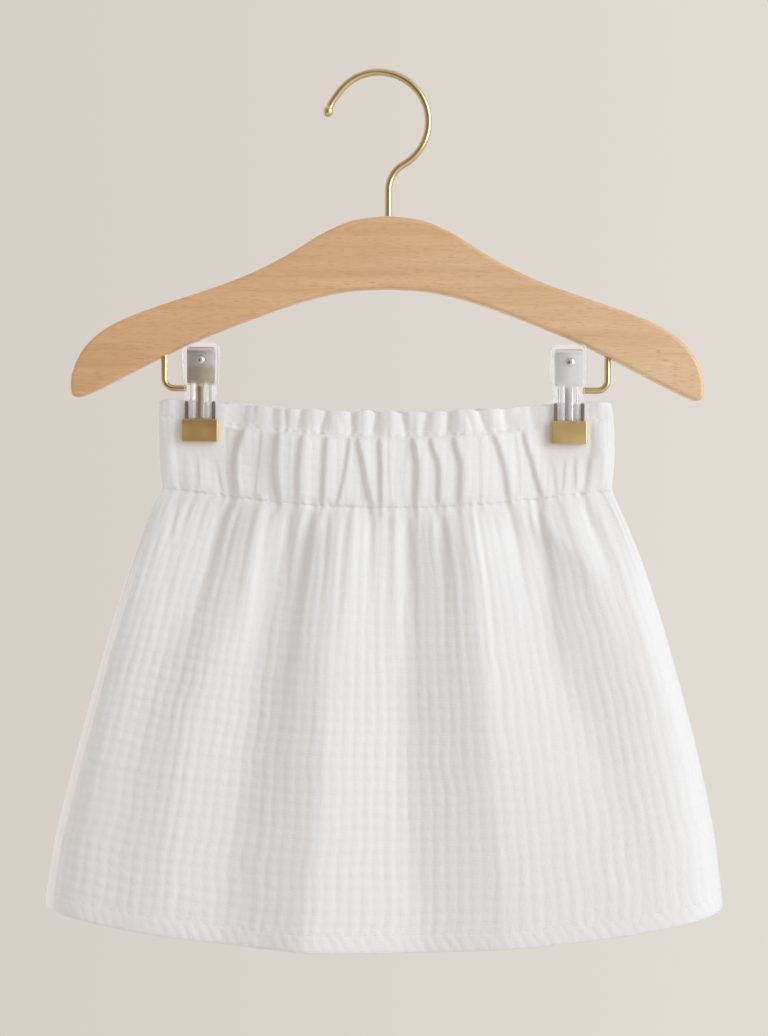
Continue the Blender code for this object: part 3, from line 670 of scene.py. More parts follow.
def zipper(a, b):
    """Triangles that join two rows of points with different counts."""
    faces, i, j = [], 0, 0
    while i < len(a) - 1 or j < len(b) - 1:
        if j == len(b) - 1 or (i < len(a) - 1 and (i + 1) / (len(a) - 1) <= (j + 1) / (len(b) - 1)):
            faces.append((a[i], a[i + 1], b[j]))
            i += 1
        else:
            faces.append((a[i], b[j + 1], b[j]))
            j += 1
    return faces


def way_out(points):
    """Unit vectors square to a grid of points."""
    normal = np.cross(np.gradient(points, axis=1), np.gradient(points, axis=0))
    return normal / np.maximum(1e-9, np.linalg.norm(normal, axis=-1, keepdims=True))


def even_places(section, count):
    """Places across from -1 to 1 at even steps along a section's own length."""
    q = np.concatenate([-np.cos(np.linspace(0, pi, 4001))])
    x, depth = section(q)
    run = np.concatenate([[0.0], np.cumsum(np.hypot(np.diff(x), np.diff(depth)))])
    places = np.interp(np.linspace(0.0, run[-1], count + 1), run, q)
    places[0], places[-1] = -1.0, 1.0
    return places


def shell(name, outer, inner, finish, metric):
    """A closed thin wall: a fine outer grid, a coarser inner grid, and joined edges."""
    rows, columns = outer.shape[:2]
    rows_in, columns_in = inner.shape[:2]
    points = np.concatenate([outer.reshape(-1, 3), inner.reshape(-1, 3)])
    start = rows * columns
    out_index = np.arange(start).reshape(rows, columns)
    in_index = start + np.arange(rows_in * columns_in).reshape(rows_in, columns_in)
    faces4 = np.concatenate([grid_faces(rows, columns), grid_faces(rows_in, columns_in, start)[:, ::-1]])
    seams = []
    for a, b in ((out_index[0], in_index[0]), (out_index[-1], in_index[-1]),
                 (out_index[:, 0], in_index[:, 0]), (out_index[:, -1], in_index[:, -1])):
        seams += zipper(list(a), list(b))
    made = mesh_object(name, points, faces4, seams, finish)
    mesh = made.data
    # one map for baking, with no overlaps, and one in the cloth's own lengths
    u = np.concatenate([np.tile(np.linspace(0.01, 0.99, columns), rows),
                        np.tile(np.linspace(0.01, 0.99, columns_in), rows_in)])
    v = np.concatenate([np.repeat(np.linspace(0.01, 0.74, rows), columns),
                        np.repeat(np.linspace(0.76, 0.96, rows_in), columns_in)])
    corner = np.zeros(len(mesh.loops), np.int32)
    mesh.loops.foreach_get("vertex_index", corner)
    flat = np.stack([u, v], -1)[corner]
    tail = len(faces4) * 4
    count = len(seams)
    if count:
        step = np.repeat(np.linspace(0.01, 0.98, count), 3)
        flat[tail:, 0] = step + np.tile([0.0, 0.3 / count, 0.15 / count], count)
        flat[tail:, 1] = 0.975 + np.tile([0.0, 0.0, 0.01], count)
    layer = mesh.uv_layers.new(name="OFBake")
    layer.data.foreach_set("uv", flat.astype(np.float32).ravel())
    lengths = mesh.uv_layers.new(name="cloth")
    lengths.data.foreach_set("uv", metric[corner].astype(np.float32).ravel())
    return made


def tube(path, radii, sides=16):
    """Points and faces of a round wire along a path, closed at both ends."""
    path = np.asarray(path, float)
    radii = np.broadcast_to(np.asarray(radii, float), (len(path),))
    along = np.gradient(path, axis=0)
    along /= np.linalg.norm(along, axis=1, keepdims=True)
    up = np.array([0.0, 1.0, 0.0]) if abs(along[0][1]) < 0.9 else np.array([1.0, 0.0, 0.0])
    rings = []
    for k in range(len(path)):
        up = up - along[k] * np.dot(up, along[k])
        up /= np.linalg.norm(up)
        other = np.cross(along[k], up)
        turn = 2.0 * pi * np.arange(sides) / sides
        rings.append(path[k] + radii[k] * (np.cos(turn)[:, None] * up + np.sin(turn)[:, None] * other))
    points = np.concatenate(rings + [path[:1], path[-1:]])
    faces4 = grid_faces(len(path), sides, wrap=True)
    first, last = len(path) * sides, len(path) * sides + 1
    faces3 = []
    for k in range(sides):
        m = (k + 1) % sides
        faces3.append((first, m, k))
        faces3.append((last, (len(path) - 1) * sides + k, (len(path) - 1) * sides + m))
    return points, faces4, np.array(faces3)


def joined(parts):
    """Several point-and-face sets as one."""
    points, faces4, faces3, at = [], [], [], 0
    for p, f4, f3 in parts:
        points.append(p)
        if len(f4):
            faces4.append(np.asarray(f4) + at)
        if len(f3):
            faces3.append(np.asarray(f3) + at)
        at += len(p)
    return (np.concatenate(points),
            np.concatenate(faces4) if faces4 else np.zeros((0, 4), int),
            np.concatenate(faces3) if faces3 else np.zeros((0, 3), int))


# ================================================================ materials
class Finish:
    """A Principled material with a few helpers for its nodes."""

    def __init__(self, name, colour, roughness, metallic=0.0):
        self.material = bpy.data.materials.new(name)
        self.material.use_nodes = True
        self.tree = self.material.node_tree
        self.shader = self.tree.nodes["Principled BSDF"]
        self.shader.inputs["Base Color"].default_value = (*colour, 1.0)
        self.shader.inputs["Roughness"].default_value = roughness
        self.shader.inputs["Metallic"].default_value = metallic
        self.material.diffuse_color = (*colour, 1.0)

    def node(self, kind, **values):
        made = self.tree.nodes.new(kind)
        for key, value in values.items():
            if key in made.inputs:
                made.inputs[key].default_value = value
            else:
                setattr(made, key, value)
        return made

    def link(self, a, b):
        self.tree.links.new(a, b)

    def place(self, scale, source="Object", uv=None):
        if uv:
            at = self.node("ShaderNodeUVMap", uv_map=uv).outputs["UV"]
        else:
            at = self.node("ShaderNodeTexCoord").outputs[source]
        mapping = self.node("ShaderNodeMapping")
        mapping.inputs["Scale"].default_value = scale
        self.link(at, mapping.inputs["Vector"])
        return mapping.outputs["Vector"]

    def noise(self, vector, scale, detail=2.0, roughness=0.5, distortion=0.0):
        made = self.node("ShaderNodeTexNoise")
        made.inputs["Scale"].default_value = scale
        made.inputs["Detail"].default_value = detail
        made.inputs["Roughness"].default_value = roughness
        made.inputs["Distortion"].default_value = distortion
        self.link(vector, made.inputs["Vector"])
        return made.outputs["Fac"]

    def wave(self, vector, scale, direction, distortion=0.0):
        made = self.node("ShaderNodeTexWave", wave_type="BANDS", bands_direction=direction)
        made.inputs["Scale"].default_value = scale
        made.inputs["Distortion"].default_value = distortion
        made.inputs["Detail"].default_value = 1.0
        self.link(vector, made.inputs["Vector"])
        return made.outputs["Fac"]

    def ramp(self, value, stops):
        made = self.node("ShaderNodeValToRGB")
        ramp = made.color_ramp
        while len(ramp.elements) < len(stops):
            ramp.elements.new(0.5)
        for element, (place, colour) in zip(ramp.elements, stops):
            element.position = place
            element.color = (*colour, 1.0) if len(colour) == 3 else colour
        self.link(value, made.inputs["Fac"])
        return made.outputs["Color"]

    def blend(self, share, a, b, how="MIX"):
        made = self.node("ShaderNodeMix", data_type="RGBA", blend_type=how)
        sockets = {s.identifier: s for s in made.inputs}
        for value, key in ((share, "Factor_Float"), (a, "A_Color"), (b, "B_Color")):
            if isinstance(value, (int, float)):
                sockets[key].default_value = value
            elif isinstance(value, tuple):
                sockets[key].default_value = (*value, 1.0)
            else:
                self.link(value, sockets[key])
        return {s.identifier: s for s in made.outputs}["Result_Color"]

    def math(self, how, a, b=0.0, c=0.0):
        made = self.node("ShaderNodeMath", operation=how)
        for i, value in enumerate((a, b, c)):
            if isinstance(value, (int, float)):
                made.inputs[i].default_value = value
            else:
                self.link(value, made.inputs[i])
        return made.outputs[0]

    def bump(self, height, distance, strength=1.0, under=None):
        made = self.node("ShaderNodeBump")
        made.inputs["Strength"].default_value = strength
        made.inputs["Distance"].default_value = distance
        self.link(height, made.inputs["Height"])
        if under is not None:
            self.link(under, made.inputs["Normal"])
        return made.outputs["Normal"]


def make_gauze(name, colour):
    made = Finish(name, colour, 0.92)
    made.shader.inputs["Sheen Weight"].default_value = 0.10
    made.shader.inputs["Sheen Roughness"].default_value = 0.55
    made.shader.inputs["Specular IOR Level"].default_value = 0.25
    cloth = made.place((1.0, 1.0, 1.0), uv="cloth")
    solid = made.place((1.0, 1.0, 1.0))
    # warp and weft threads, with slubs
    warp = made.wave(cloth, 470.0, "X", 0.7)
    weft = made.wave(cloth, 470.0, "Y", 0.7)
    threads = made.math("ADD", warp, weft)
    slub_warp = made.noise(made.place((1500.0, 160.0, 1.0), uv="cloth"), 1.0, 2.0)
    slub_weft = made.noise(made.place((160.0, 1500.0, 1.0), uv="cloth"), 1.0, 2.0)
    slubs = made.math("ADD", slub_warp, slub_weft)
    rumple = made.noise(solid, 420.0, 3.0, 0.6)
    first = made.bump(threads, 0.00005, 0.5)
    second = made.bump(slubs, 0.00010, 0.6, first)
    third = made.bump(rumple, 0.00022, 0.7, second)
    made.link(third, made.shader.inputs["Normal"])
    # uneven whiteness: thicker threads are whiter, thin places a little greyer
    dark = tuple(c * 0.955 for c in colour)
    shade = made.ramp(slubs, ((0.30, dark), (0.70, colour)))
    broad = made.noise(solid, 16.0, 2.0)
    tint = made.ramp(broad, ((0.35, (0.992, 0.988, 0.990)), (0.65, (1.0, 1.0, 1.0))))
    made.link(made.blend(1.0, shade, tint, "MULTIPLY"), made.shader.inputs["Base Color"])
    rough = made.ramp(slubs, ((0.2, (0.86, 0.86, 0.86)), (0.8, (0.97, 0.97, 0.97))))
    made.link(rough, made.shader.inputs["Roughness"])
    return made.material


def make_beech():
    made = Finish("beech_lacquered", (0.74, 0.47, 0.27), 0.42)
    made.shader.inputs["Coat Weight"].default_value = 0.25
    made.shader.inputs["Coat Roughness"].default_value = 0.35
    # the grain runs along the bar
    grain_at = made.place((9.0, 60.0, 150.0))
    grain = made.noise(grain_at, 1.0, 4.0, 0.60, 0.25)
    fine = made.noise(made.place((70.0, 500.0, 2300.0)), 1.0, 2.0)
    broad = made.noise(made.place((5.0, 20.0, 26.0)), 1.0, 2.0)
    base = made.ramp(grain, ((0.28, (0.690, 0.405, 0.205)), (0.50, (0.780, 0.485, 0.262)), (0.74, (0.835, 0.545, 0.315))))
    base = made.blend(0.45, base, made.ramp(fine, ((0.3, (0.86, 0.82, 0.78)), (0.7, (1.05, 1.04, 1.03)))), "MULTIPLY")
    base = made.blend(0.6, base, made.ramp(broad, ((0.3, (0.93, 0.90, 0.87)), (0.7, (1.05, 1.05, 1.05)))), "MULTIPLY")
    # painted light: the plank is redder and darker towards its left end and paler and brighter towards its right end,
    # as the light falls from the right
    split = made.node("ShaderNodeSeparateXYZ")
    made.link(made.node("ShaderNodeTexCoord").outputs["Object"], split.inputs[0])
    span = made.node("ShaderNodeMapRange")
    made.link(split.outputs["X"], span.inputs["Value"])
    span.inputs["From Min"].default_value = -140.0 * MM
    span.inputs["From Max"].default_value = 150.0 * MM
    base = made.blend(span.outputs["Result"], made.blend(1.0, base, (0.985, 0.955, 0.905), "MULTIPLY"),
                      made.blend(1.0, base, (1.03, 1.15, 1.24), "MULTIPLY"))
    # short ray flecks, long along the bar and thin across it
    fleck_at = made.place((230.0, 700.0, 3000.0))
    fleck = made.noise(fleck_at, 1.0, 0.0, 0.5, 0.10)
    where = made.noise(made.place((14.0, 30.0, 50.0)), 1.0, 2.0)
    mask = made.math("MULTIPLY", made.ramp(fleck, ((0.620, (0.0, 0.0, 0.0)), (0.760, (1.0, 1.0, 1.0)))),
                     made.ramp(where, ((0.32, (0.55, 0.55, 0.55)), (0.58, (1.0, 1.0, 1.0)))))
    mask = made.math("MULTIPLY", mask, 0.62)
    base = made.blend(mask, base, (0.540, 0.285, 0.145))
    made.link(base, made.shader.inputs["Base Color"])
    rough = made.ramp(grain, ((0.3, (0.50, 0.50, 0.50)), (0.7, (0.38, 0.38, 0.38))))
    made.link(rough, made.shader.inputs["Roughness"])
    lower = made.bump(fine, 0.00003, 0.5)
    upper = made.bump(made.math("MULTIPLY", mask, -1.0), 0.00005, 0.5, lower)
    made.link(upper, made.shader.inputs["Normal"])
    return made.material


def make_brass(name, colour, roughness, brushed):
    made = Finish(name, colour, roughness, 1.0)
    speck = made.noise(made.place((900.0, 900.0, 900.0)), 1.0, 2.0)
    cloud = made.noise(made.place((70.0, 70.0, 70.0)), 1.0, 3.0)
    tone = made.ramp(cloud, ((0.30, tuple(c * 0.90 for c in colour)), (0.70, tuple(min(1.0, c * 1.06) for c in colour))))
    made.link(tone, made.shader.inputs["Base Color"])
    if brushed:
        low, high = roughness * 0.85, roughness * 1.2
        rough = made.ramp(cloud, ((0.3, (low, low, low)), (0.7, (high, high, high))))
        made.link(rough, made.shader.inputs["Roughness"])
        lines = made.noise(made.place((160.0, 160.0, 3200.0)), 1.0, 2.0)
        made.link(made.bump(lines, 0.000025, 0.5, made.bump(speck, 0.00002, 0.4)), made.shader.inputs["Normal"])
    return made.material


def make_clear(name, through_share, solid_share):
    made = Finish(name, (0.970, 0.972, 0.976), 0.03)
    # a Transmission Weight under one leaves a share of white diffuse on the plastic, painted light that whitens it
    made.shader.inputs["Transmission Weight"].default_value = through_share
    made.shader.inputs["Alpha"].default_value = solid_share
    made.shader.inputs["IOR"].default_value = 1.49
    wisp = made.noise(made.place((160.0, 160.0, 90.0)), 1.0, 2.0)
    rough = made.ramp(wisp, ((0.45, (0.02, 0.02, 0.02)), (0.75, (0.07, 0.07, 0.07))))
    made.link(rough, made.shader.inputs["Roughness"])
    made.link(made.bump(wisp, 0.00004, 0.3), made.shader.inputs["Normal"])
    return made.material


def make_steel(name, high_colour, low_colour, low, high, metallic):
    """Bright strip steel whose tone turns from one colour to the other down its height, a painted reflection: pale
    where it mirrors the bright room, tinted lower down.
    """
    made = Finish(name, high_colour, 0.24, metallic)
    at = made.node("ShaderNodeTexCoord").outputs["Object"]
    split = made.node("ShaderNodeSeparateXYZ")
    made.link(at, split.inputs[0])
    span = made.node("ShaderNodeMapRange")
    made.link(split.outputs["Z"], span.inputs["Value"])
    span.inputs["From Min"].default_value = low * MM
    span.inputs["From Max"].default_value = high * MM
    smear = made.noise(made.place((260.0, 260.0, 60.0)), 1.0, 2.0)
    share = made.math("ADD", span.outputs["Result"], made.math("MULTIPLY", made.math("SUBTRACT", smear, 0.5), 0.35))
    tone = made.ramp(share, ((0.25, low_colour), (0.75, high_colour)))
    made.link(tone, made.shader.inputs["Base Color"])
    lines = made.noise(made.place((3000.0, 3000.0, 120.0)), 1.0, 2.0)
    made.link(made.bump(lines, 0.00002, 0.35), made.shader.inputs["Normal"])
    return made.material


def make_thread():
    made = Finish("sewing_thread", (0.68, 0.675, 0.67), 0.75)
    twist = made.wave(made.place((1.0, 1.0, 1.0)), 900.0, "DIAGONAL", 0.5)
    made.link(made.bump(twist, 0.00003, 0.6), made.shader.inputs["Normal"])
    # the thread is greyer than the cloth, partly painted shade so that each stitch shows as a dark dash, and darker
    # again in the grooves of its twist, painted shade
    tone = made.ramp(twist, ((0.2, (0.60, 0.595, 0.59)), (0.8, (0.76, 0.755, 0.75))))
    made.link(tone, made.shader.inputs["Base Color"])
    return made.material


gauze = make_gauze("white_double_gauze", (0.885, 0.880, 0.882))
beech = make_beech()
wire_brass = make_brass("polished_brass", (0.68, 0.54, 0.30), 0.15, False)
cap_brass = make_brass("satin_brass", (0.76, 0.56, 0.26), 0.38, True)
# painted shade: the left clip's caps are the same brass as the right's, given a darker, redder copy because less
# light reaches them
cap_left_painted_shade = make_brass("satin_brass_left_painted_shade", (0.69, 0.47, 0.20), 0.38, True)
# the prongs are a much darker, browner brass than the caps
prong_brass = make_brass("dark_brown_brass", (0.34, 0.22, 0.20), 0.40, True)
# the leaves keep a small share of white diffuse, painted light over the cloth they shade
clear = make_clear("clear_acrylic", 0.92, 0.38)
# painted highlight: the ribs get a whiter, less clear copy of the acrylic for the bright streaks a clear rib shows
clear_rib_painted_highlight = make_clear("clear_acrylic_ribs_painted_highlight", 0.80, 0.86)
# painted reflection: both clips' strips are the same steel, given two sets of tones and metal shares for how each
# mirrors what is around it
steel_left_painted_reflection = make_steel("strip_steel_left_with_painted_reflection", (0.90, 0.85, 0.85), (0.72, 0.65, 0.50), -151.0, -145.0, 1.0)
steel_right_painted_reflection = make_steel("strip_steel_right_with_painted_reflection", (0.98, 0.98, 0.98), (0.84, 0.76, 0.83), -166.0, -152.0, 0.72)
bright_pin = make_brass("bright_pin", (0.72, 0.71, 0.70), 0.14, False)
thread = make_thread()


# ================================================================ the cloth
def skin(surface, folds, detail, side, q, t):
    """Outer skin points of a cloth piece, and the same without the fine detail."""
    way = -1.0 if side == "front" else 1.0
    x, depth, z = surface(q, t, side)[:3]
    form = np.stack([x, way * depth, z], -1)
    out = way_out(form) * (1.0 if side == "front" else -1.0)
    if np.mean(out[..., 1] * way) < 0.0:
        out = -out
    plain = form + out * folds[..., None]
    fine = form + out * (folds + detail)[..., None]
    for points in (plain, fine):
        points[..., 1] = way * np.maximum(points[..., 1] * way, 0.06)
    return form, plain, fine


def make_panel(side):
    columns, rows = 447, 177
    q1 = even_places(lambda p: skirt_form(p, np.full_like(p, 0.7), side)[:2], columns)
    steps = np.linspace(0.0, 1.0, rows + 1)
    t1 = steps
    q, t = np.meshgrid(q1, t1)
    lift = mix(seam_folds(q, side), panel_folds(q, t, side), smooth(t / 0.04)) * smooth((1.0 - np.abs(q)) / 0.03)
    detail = panel_crinkle(q, t, side)
    form, plain, fine = skin(skirt_form, lift, detail, side, q, t)
    way = -1.0 if side == "front" else 1.0
    # gathered cloth above the seam line, tucked up inside the casing's lower edge
    tuck = fine[0].copy()
    tuck[:, 2] += 1.3
    tuck[:, 1] = way * np.maximum(tuck[:, 1] * way - 0.15, 0.06)
    # the hem's lower fold, rounded over to the inside
    under = []
    for k in range(1, 5):
        turn = pi * k / 5
        ring = fine[-1].copy()
        ring[:, 2] -= 0.55 * sin(turn)
        ring[:, 1] = way * np.maximum(ring[:, 1] * way - HEM_WALL * 0.5 * (1.0 - cos(turn)), 0.06)
        under.append(ring)
    outer = np.concatenate([tuck[None], fine, np.array(under)])
    # the inner skin: every third column and row, moved in by the wall
    rows_in = list(range(0, rows + 1, 3))
    columns_in = list(range(0, columns + 1, 3))
    wall = np.where(t[rows_in][:, columns_in] > HEM_START, HEM_WALL, PANEL_WALL)
    inner = plain[rows_in][:, columns_in].copy()
    lean = np.abs(way_out(plain)[rows_in][:, columns_in][..., 1])
    reach = wall / np.maximum(0.5, lean)
    inner[..., 1] = way * np.maximum(inner[..., 1] * way - reach - 0.25, 0.06)
    half = np.abs(inner[..., 0] - AXIS_X)
    edge = np.abs(inner[:, :1, 0] - AXIS_X), np.abs(inner[:, -1:, 0] - AXIS_X)
    most = np.where(inner[..., 0] < AXIS_X, edge[0], edge[1])
    inner[..., 0] = AXIS_X + np.sign(inner[..., 0] - AXIS_X) * np.minimum(half, most - wall)
    at_top = inner[0].copy()
    at_top[:, 2] += 1.3
    inner = np.concatenate([at_top[None], inner])
    metric_out = np.stack([q * 0.185, t * 0.209], -1)
    pad_top, pad_low = metric_out[:1], np.repeat(metric_out[-1:], 4, axis=0)
    metric_in = metric_out[rows_in][:, columns_in]
    metric = np.concatenate([np.concatenate([pad_top, metric_out, pad_low]).reshape(-1, 2),
                             np.concatenate([metric_in[:1], metric_in]).reshape(-1, 2)])
    made = shell("gauze_panel_" + side, outer, inner, gauze, metric)
    return made, (q1, t1, fine)


def make_band(side):
    columns, rows = 468, 132
    q1 = even_places(lambda p: band_form(p, np.full_like(p, 0.8), side)[:2], columns)
    t1 = np.linspace(0.0, 1.0, rows + 1)
    q, t = np.meshgrid(q1, t1)
    depth, _, free = band_form(q, t, side)[1:]
    beside = np.abs(past_clip(q))
    held = (1.0 - smooth((beside - 9.5) / 7.0)) * (1.0 - smooth((t - 0.50) / 0.20))
    edge = smooth((1.0 - np.abs(q)) / 0.03)
    loose = (1.0 - held) * edge
    folds = band_folds(q, t, side)
    lift = mix(folds * loose + 0.35 * free, seam_folds(q, side) * edge, smooth((t - 0.86) / 0.14))
    # no fold reaches the other side of the band
    room = 0.72 * np.maximum(0.3, depth - 0.4)
    lift = np.where(lift < 0.0, -room * np.tanh(-lift / room), lift)
    detail = band_crinkle(q, t, side) * mix(0.30, 1.0, loose)
    form, plain, fine = skin(band_form, lift, detail, side, q, t)
    way = -1.0 if side == "front" else 1.0
    # the header's edge dips where it folds in, and waves a little
    edge = 1.0 - smooth(t / (HEADER_SHARE * 1.1))
    seed = 91 if side == "front" else 95
    dip = edge * (0.42 * folds * free + 0.35 * noise(q * 24.0, t * 0.0, seed) + 0.25 * noise(q * 55.0, t * 0.0, seed + 1))
    # its corners are worn round
    corner = np.maximum(0.0, 1.0 - (1.0 - np.abs(q)) * WAIST_HALF / 3.0)
    dip = dip - (1.0 - smooth(t / (0.5 * HEADER_SHARE))) * np.where(q < 0.0, 1.9, 1.1) * corner ** 2
    for points in (plain, fine):
        points[..., 2] += dip
    # the folded edge, rounded over to the inside
    over = []
    for k in range(1, 6):
        turn = pi * k / 6
        ring = fine[0].copy()
        ring[:, 2] += 0.5 * BAND_WALL * sin(turn) * 0.8
        ring[:, 1] = way * np.maximum(ring[:, 1] * way - 0.5 * BAND_WALL * (1.0 - cos(turn)), 0.06)
        over.insert(0, ring)
    outer = np.concatenate([np.array(over), fine])
    rows_in = list(range(0, rows + 1, 3))
    columns_in = list(range(0, columns + 1, 3))
    inner = plain[rows_in][:, columns_in].copy()
    lean = np.abs(way_out(plain)[rows_in][:, columns_in][..., 1])
    reach = BAND_WALL / np.maximum(0.6, lean)
    inner[..., 1] = way * np.maximum(inner[..., 1] * way - reach, 0.06)
    half = np.abs(inner[..., 0] - AXIS_X)
    sides = np.abs(inner[:, :1, 0] - AXIS_X), np.abs(inner[:, -1:, 0] - AXIS_X)
    most = np.where(inner[..., 0] < AXIS_X, sides[0], sides[1])
    inner[..., 0] = AXIS_X + np.sign(inner[..., 0] - AXIS_X) * np.minimum(half, most - BAND_WALL)
    metric_out = np.stack([q * 0.150, t * 0.0535], -1)
    metric = np.concatenate([np.concatenate([np.repeat(metric_out[:1], 5, axis=0), metric_out]).reshape(-1, 2),
                             metric_out[rows_in][:, columns_in].reshape(-1, 2)])
    made = shell("gauze_waistband_" + side, outer, inner, gauze, metric)
    return made, (q1, t1, fine)


def on_skin(grid, q, t):
    """Points and outward directions of a skin at places across and down."""
    q1, t1, points = grid
    out = way_out(points)
    if np.mean(out[..., 1] * points[..., 1]) < 0.0:
        out = -out
    fi = np.interp(q, q1, np.arange(len(q1)))
    fj = np.interp(t, t1, np.arange(len(t1)))
    i, j = np.clip(fi.astype(int), 0, len(q1) - 2), np.clip(fj.astype(int), 0, len(t1) - 2)
    a, b = (fi - i)[:, None], (fj - j)[:, None]

    def read(field):
        return ((field[j, i] * (1 - a) + field[j, i + 1] * a) * (1 - b)
                + (field[j + 1, i] * (1 - a) + field[j + 1, i + 1] * a) * b)

    direction = read(out)
    return read(points), direction / np.linalg.norm(direction, axis=1, keepdims=True)


def stitches(name, grid, t_row, half, length, thick, seed):
    """A row of short thread stitches, each lying in its own dent in the cloth, some half hidden."""
    count = round(2.0 * half / STITCH_PITCH)
    drift = noise(np.arange(count) * 1.7, np.zeros(count), seed)
    hidden = np.maximum(0.0, noise(np.arange(count) * 0.31, np.zeros(count), seed + 20)) * 0.5 \
        + np.maximum(0.0, noise(np.arange(count) * 2.3, np.zeros(count), seed + 21)) * 0.5
    parts = []
    sections = 7
    for k in range(1, count - 1):
        middle = (k + 0.5) * 2.0 / count - 1.0 + 0.0008 * drift[k]
        places = middle + np.linspace(-0.5, 0.5, sections) * length / half
        drop = 0.0006 * drift[(k * 7) % count]
        at, out = on_skin(grid, places, np.full(sections, t_row + drop))
        arch = np.sin(np.linspace(0.0, pi, sections)) * thick * 0.9 - thick * (0.75 + 1.1 * hidden[k])
        parts.append(tube(at + out * arch[:, None], thick / 2 * np.array([0.7, 0.95, 1.0, 1.0, 1.0, 0.95, 0.7]), 6))
    return mesh_object(name, *joined(parts), thread)


cloth = {}
for side in ("front", "back"):
    panel, panel_grid = make_panel(side)
    band, band_grid = make_band(side)
    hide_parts("skirt_" + side)
    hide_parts("waistband_" + side)
    rows = (stitches("stitches_row_" + side, band_grid, HEADER_SHARE, WAIST_HALF, 2.3, 0.26, 3),
            stitches("stitches_seam_" + side, band_grid, 0.985, WAIST_HALF, 1.9, 0.22, 4),
            stitches("stitches_hem_" + side, panel_grid, HEM_START, HEM_HALF, 2.0, 0.20, 5))
    cloth[side] = (panel, band, rows)
    for piece in (panel, band, *rows):
        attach(piece, "root")


# ================================================================ the hanger
def wood_loop(inset):
    """The bar's outline from the front, every point moved in by the inset."""
    steps = 90
    reach = WOOD_SECTIONS[-1][0]
    places = reach * np.sin(0.5 * pi * np.arange(steps + 1) / steps)
    top = through(WOOD_SECTIONS, places, 1)
    low = through(WOOD_SECTIONS, places, 2)
    end_top, end_low = (reach, top[-1]), (reach, low[-1])
    nose = []
    for k in range(1, 16):                       # the blunt end, one soft curve
        s = k / 16
        nose.append(((1 - s) ** 2 * end_top[0] + 2 * s * (1 - s) * (2 * WOOD_NOSE[0] - reach) + s * s * end_low[0],
                     (1 - s) ** 2 * end_top[1] + 2 * s * (1 - s) * WOOD_NOSE[1] + s * s * end_low[1]))
    right = np.array(list(zip(places, top)) + nose + list(zip(places, low))[::-1])
    run = np.concatenate([[0.0], np.cumsum(np.linalg.norm(np.diff(right, axis=0), axis=1))])
    even = np.linspace(0.0, run[-1], 401)
    right = np.stack([np.interp(even, run, right[:, 0]), np.interp(even, run, right[:, 1])], -1)
    loop = np.concatenate([right, (right[1:-1] * (-1.0, 1.0))[::-1]])
    for _ in range(5):
        loop = 0.25 * np.roll(loop, 1, 0) + 0.5 * loop + 0.25 * np.roll(loop, -1, 0)
    along = np.roll(loop, -1, 0) - np.roll(loop, 1, 0)
    along /= np.linalg.norm(along, axis=1, keepdims=True)
    for _ in range(14):
        along = 0.25 * np.roll(along, 1, 0) + 0.5 * along + 0.25 * np.roll(along, -1, 0)
    inward = np.stack([along[:, 1], -along[:, 0]], -1)
    return loop + inward * inset


def make_wood():
    arc = np.linspace(0.0, 0.5 * pi, 7)
    stations = [(WOOD_EDGE * (1 - cos(a)), WOOD_THICK / 2 - WOOD_EDGE * (1 - sin(a))) for a in arc[::-1]]
    rings = []
    face = [(WOOD_EDGE + 0.4, WOOD_THICK / 2)] + stations
    for inset, y in face:
        loop = wood_loop(inset)
        rings.append(np.stack([AXIS_X + loop[:, 0], np.full(len(loop), -y), loop[:, 1]], -1))
    for inset, y in face[::-1]:
        loop = wood_loop(inset)
        rings.append(np.stack([AXIS_X + loop[:, 0], np.full(len(loop), y), loop[:, 1]], -1))
    rings = np.array(rings)
    count = rings.shape[1]
    points = rings.reshape(-1, 3)
    faces4 = [grid_faces(len(rings), count, wrap=True)]
    faces3 = []
    # both flat faces: straight across from the top line to the bottom line
    half = (count + 2) // 2
    for ring in (0, len(rings) - 1):
        base = ring * count
        # point k on the right mirrors over the long axis: 0..n runs top to bottom
        right = [base + k for k in range(half)]
        n = len(right)
        for k in range(n // 2):
            a, b = right[k], right[k + 1]
            c, d = right[n - 1 - k], right[n - 2 - k]
            if b == d:
                faces3.append((a, b, c))
            elif len({a, b, c, d}) == 4:
                faces4.append(np.array([(a, b, d, c)]))
        left = [base] + [base + count - k for k in range(1, half - 1)] + [base + half - 1]
        for k in range(n // 2):
            a, b = left[k], left[k + 1]
            c, d = left[n - 1 - k], left[n - 2 - k]
            if b == d:
                faces3.append((a, b, c))
            elif len({a, b, c, d}) == 4:
                faces4.append(np.array([(a, b, d, c)]))
    return mesh_object("beech_bar", points, np.concatenate(faces4), np.array(faces3).reshape(-1, 3), beech)


bar = make_wood()
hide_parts("hanger_wood")
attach(bar, "root")

ball = HOOK_BALL / 2
bow_z = HOOK_WIRE / 2 - HOOK_RADIUS


def bow(degrees):
    out = HOOK_RADIUS + HOOK_FLARE * float(smooth((degrees - HOOK_START + 24.0) / 24.0))
    return (out * cos(radians(degrees)), 0.0, bow_z + out * sin(radians(degrees)))


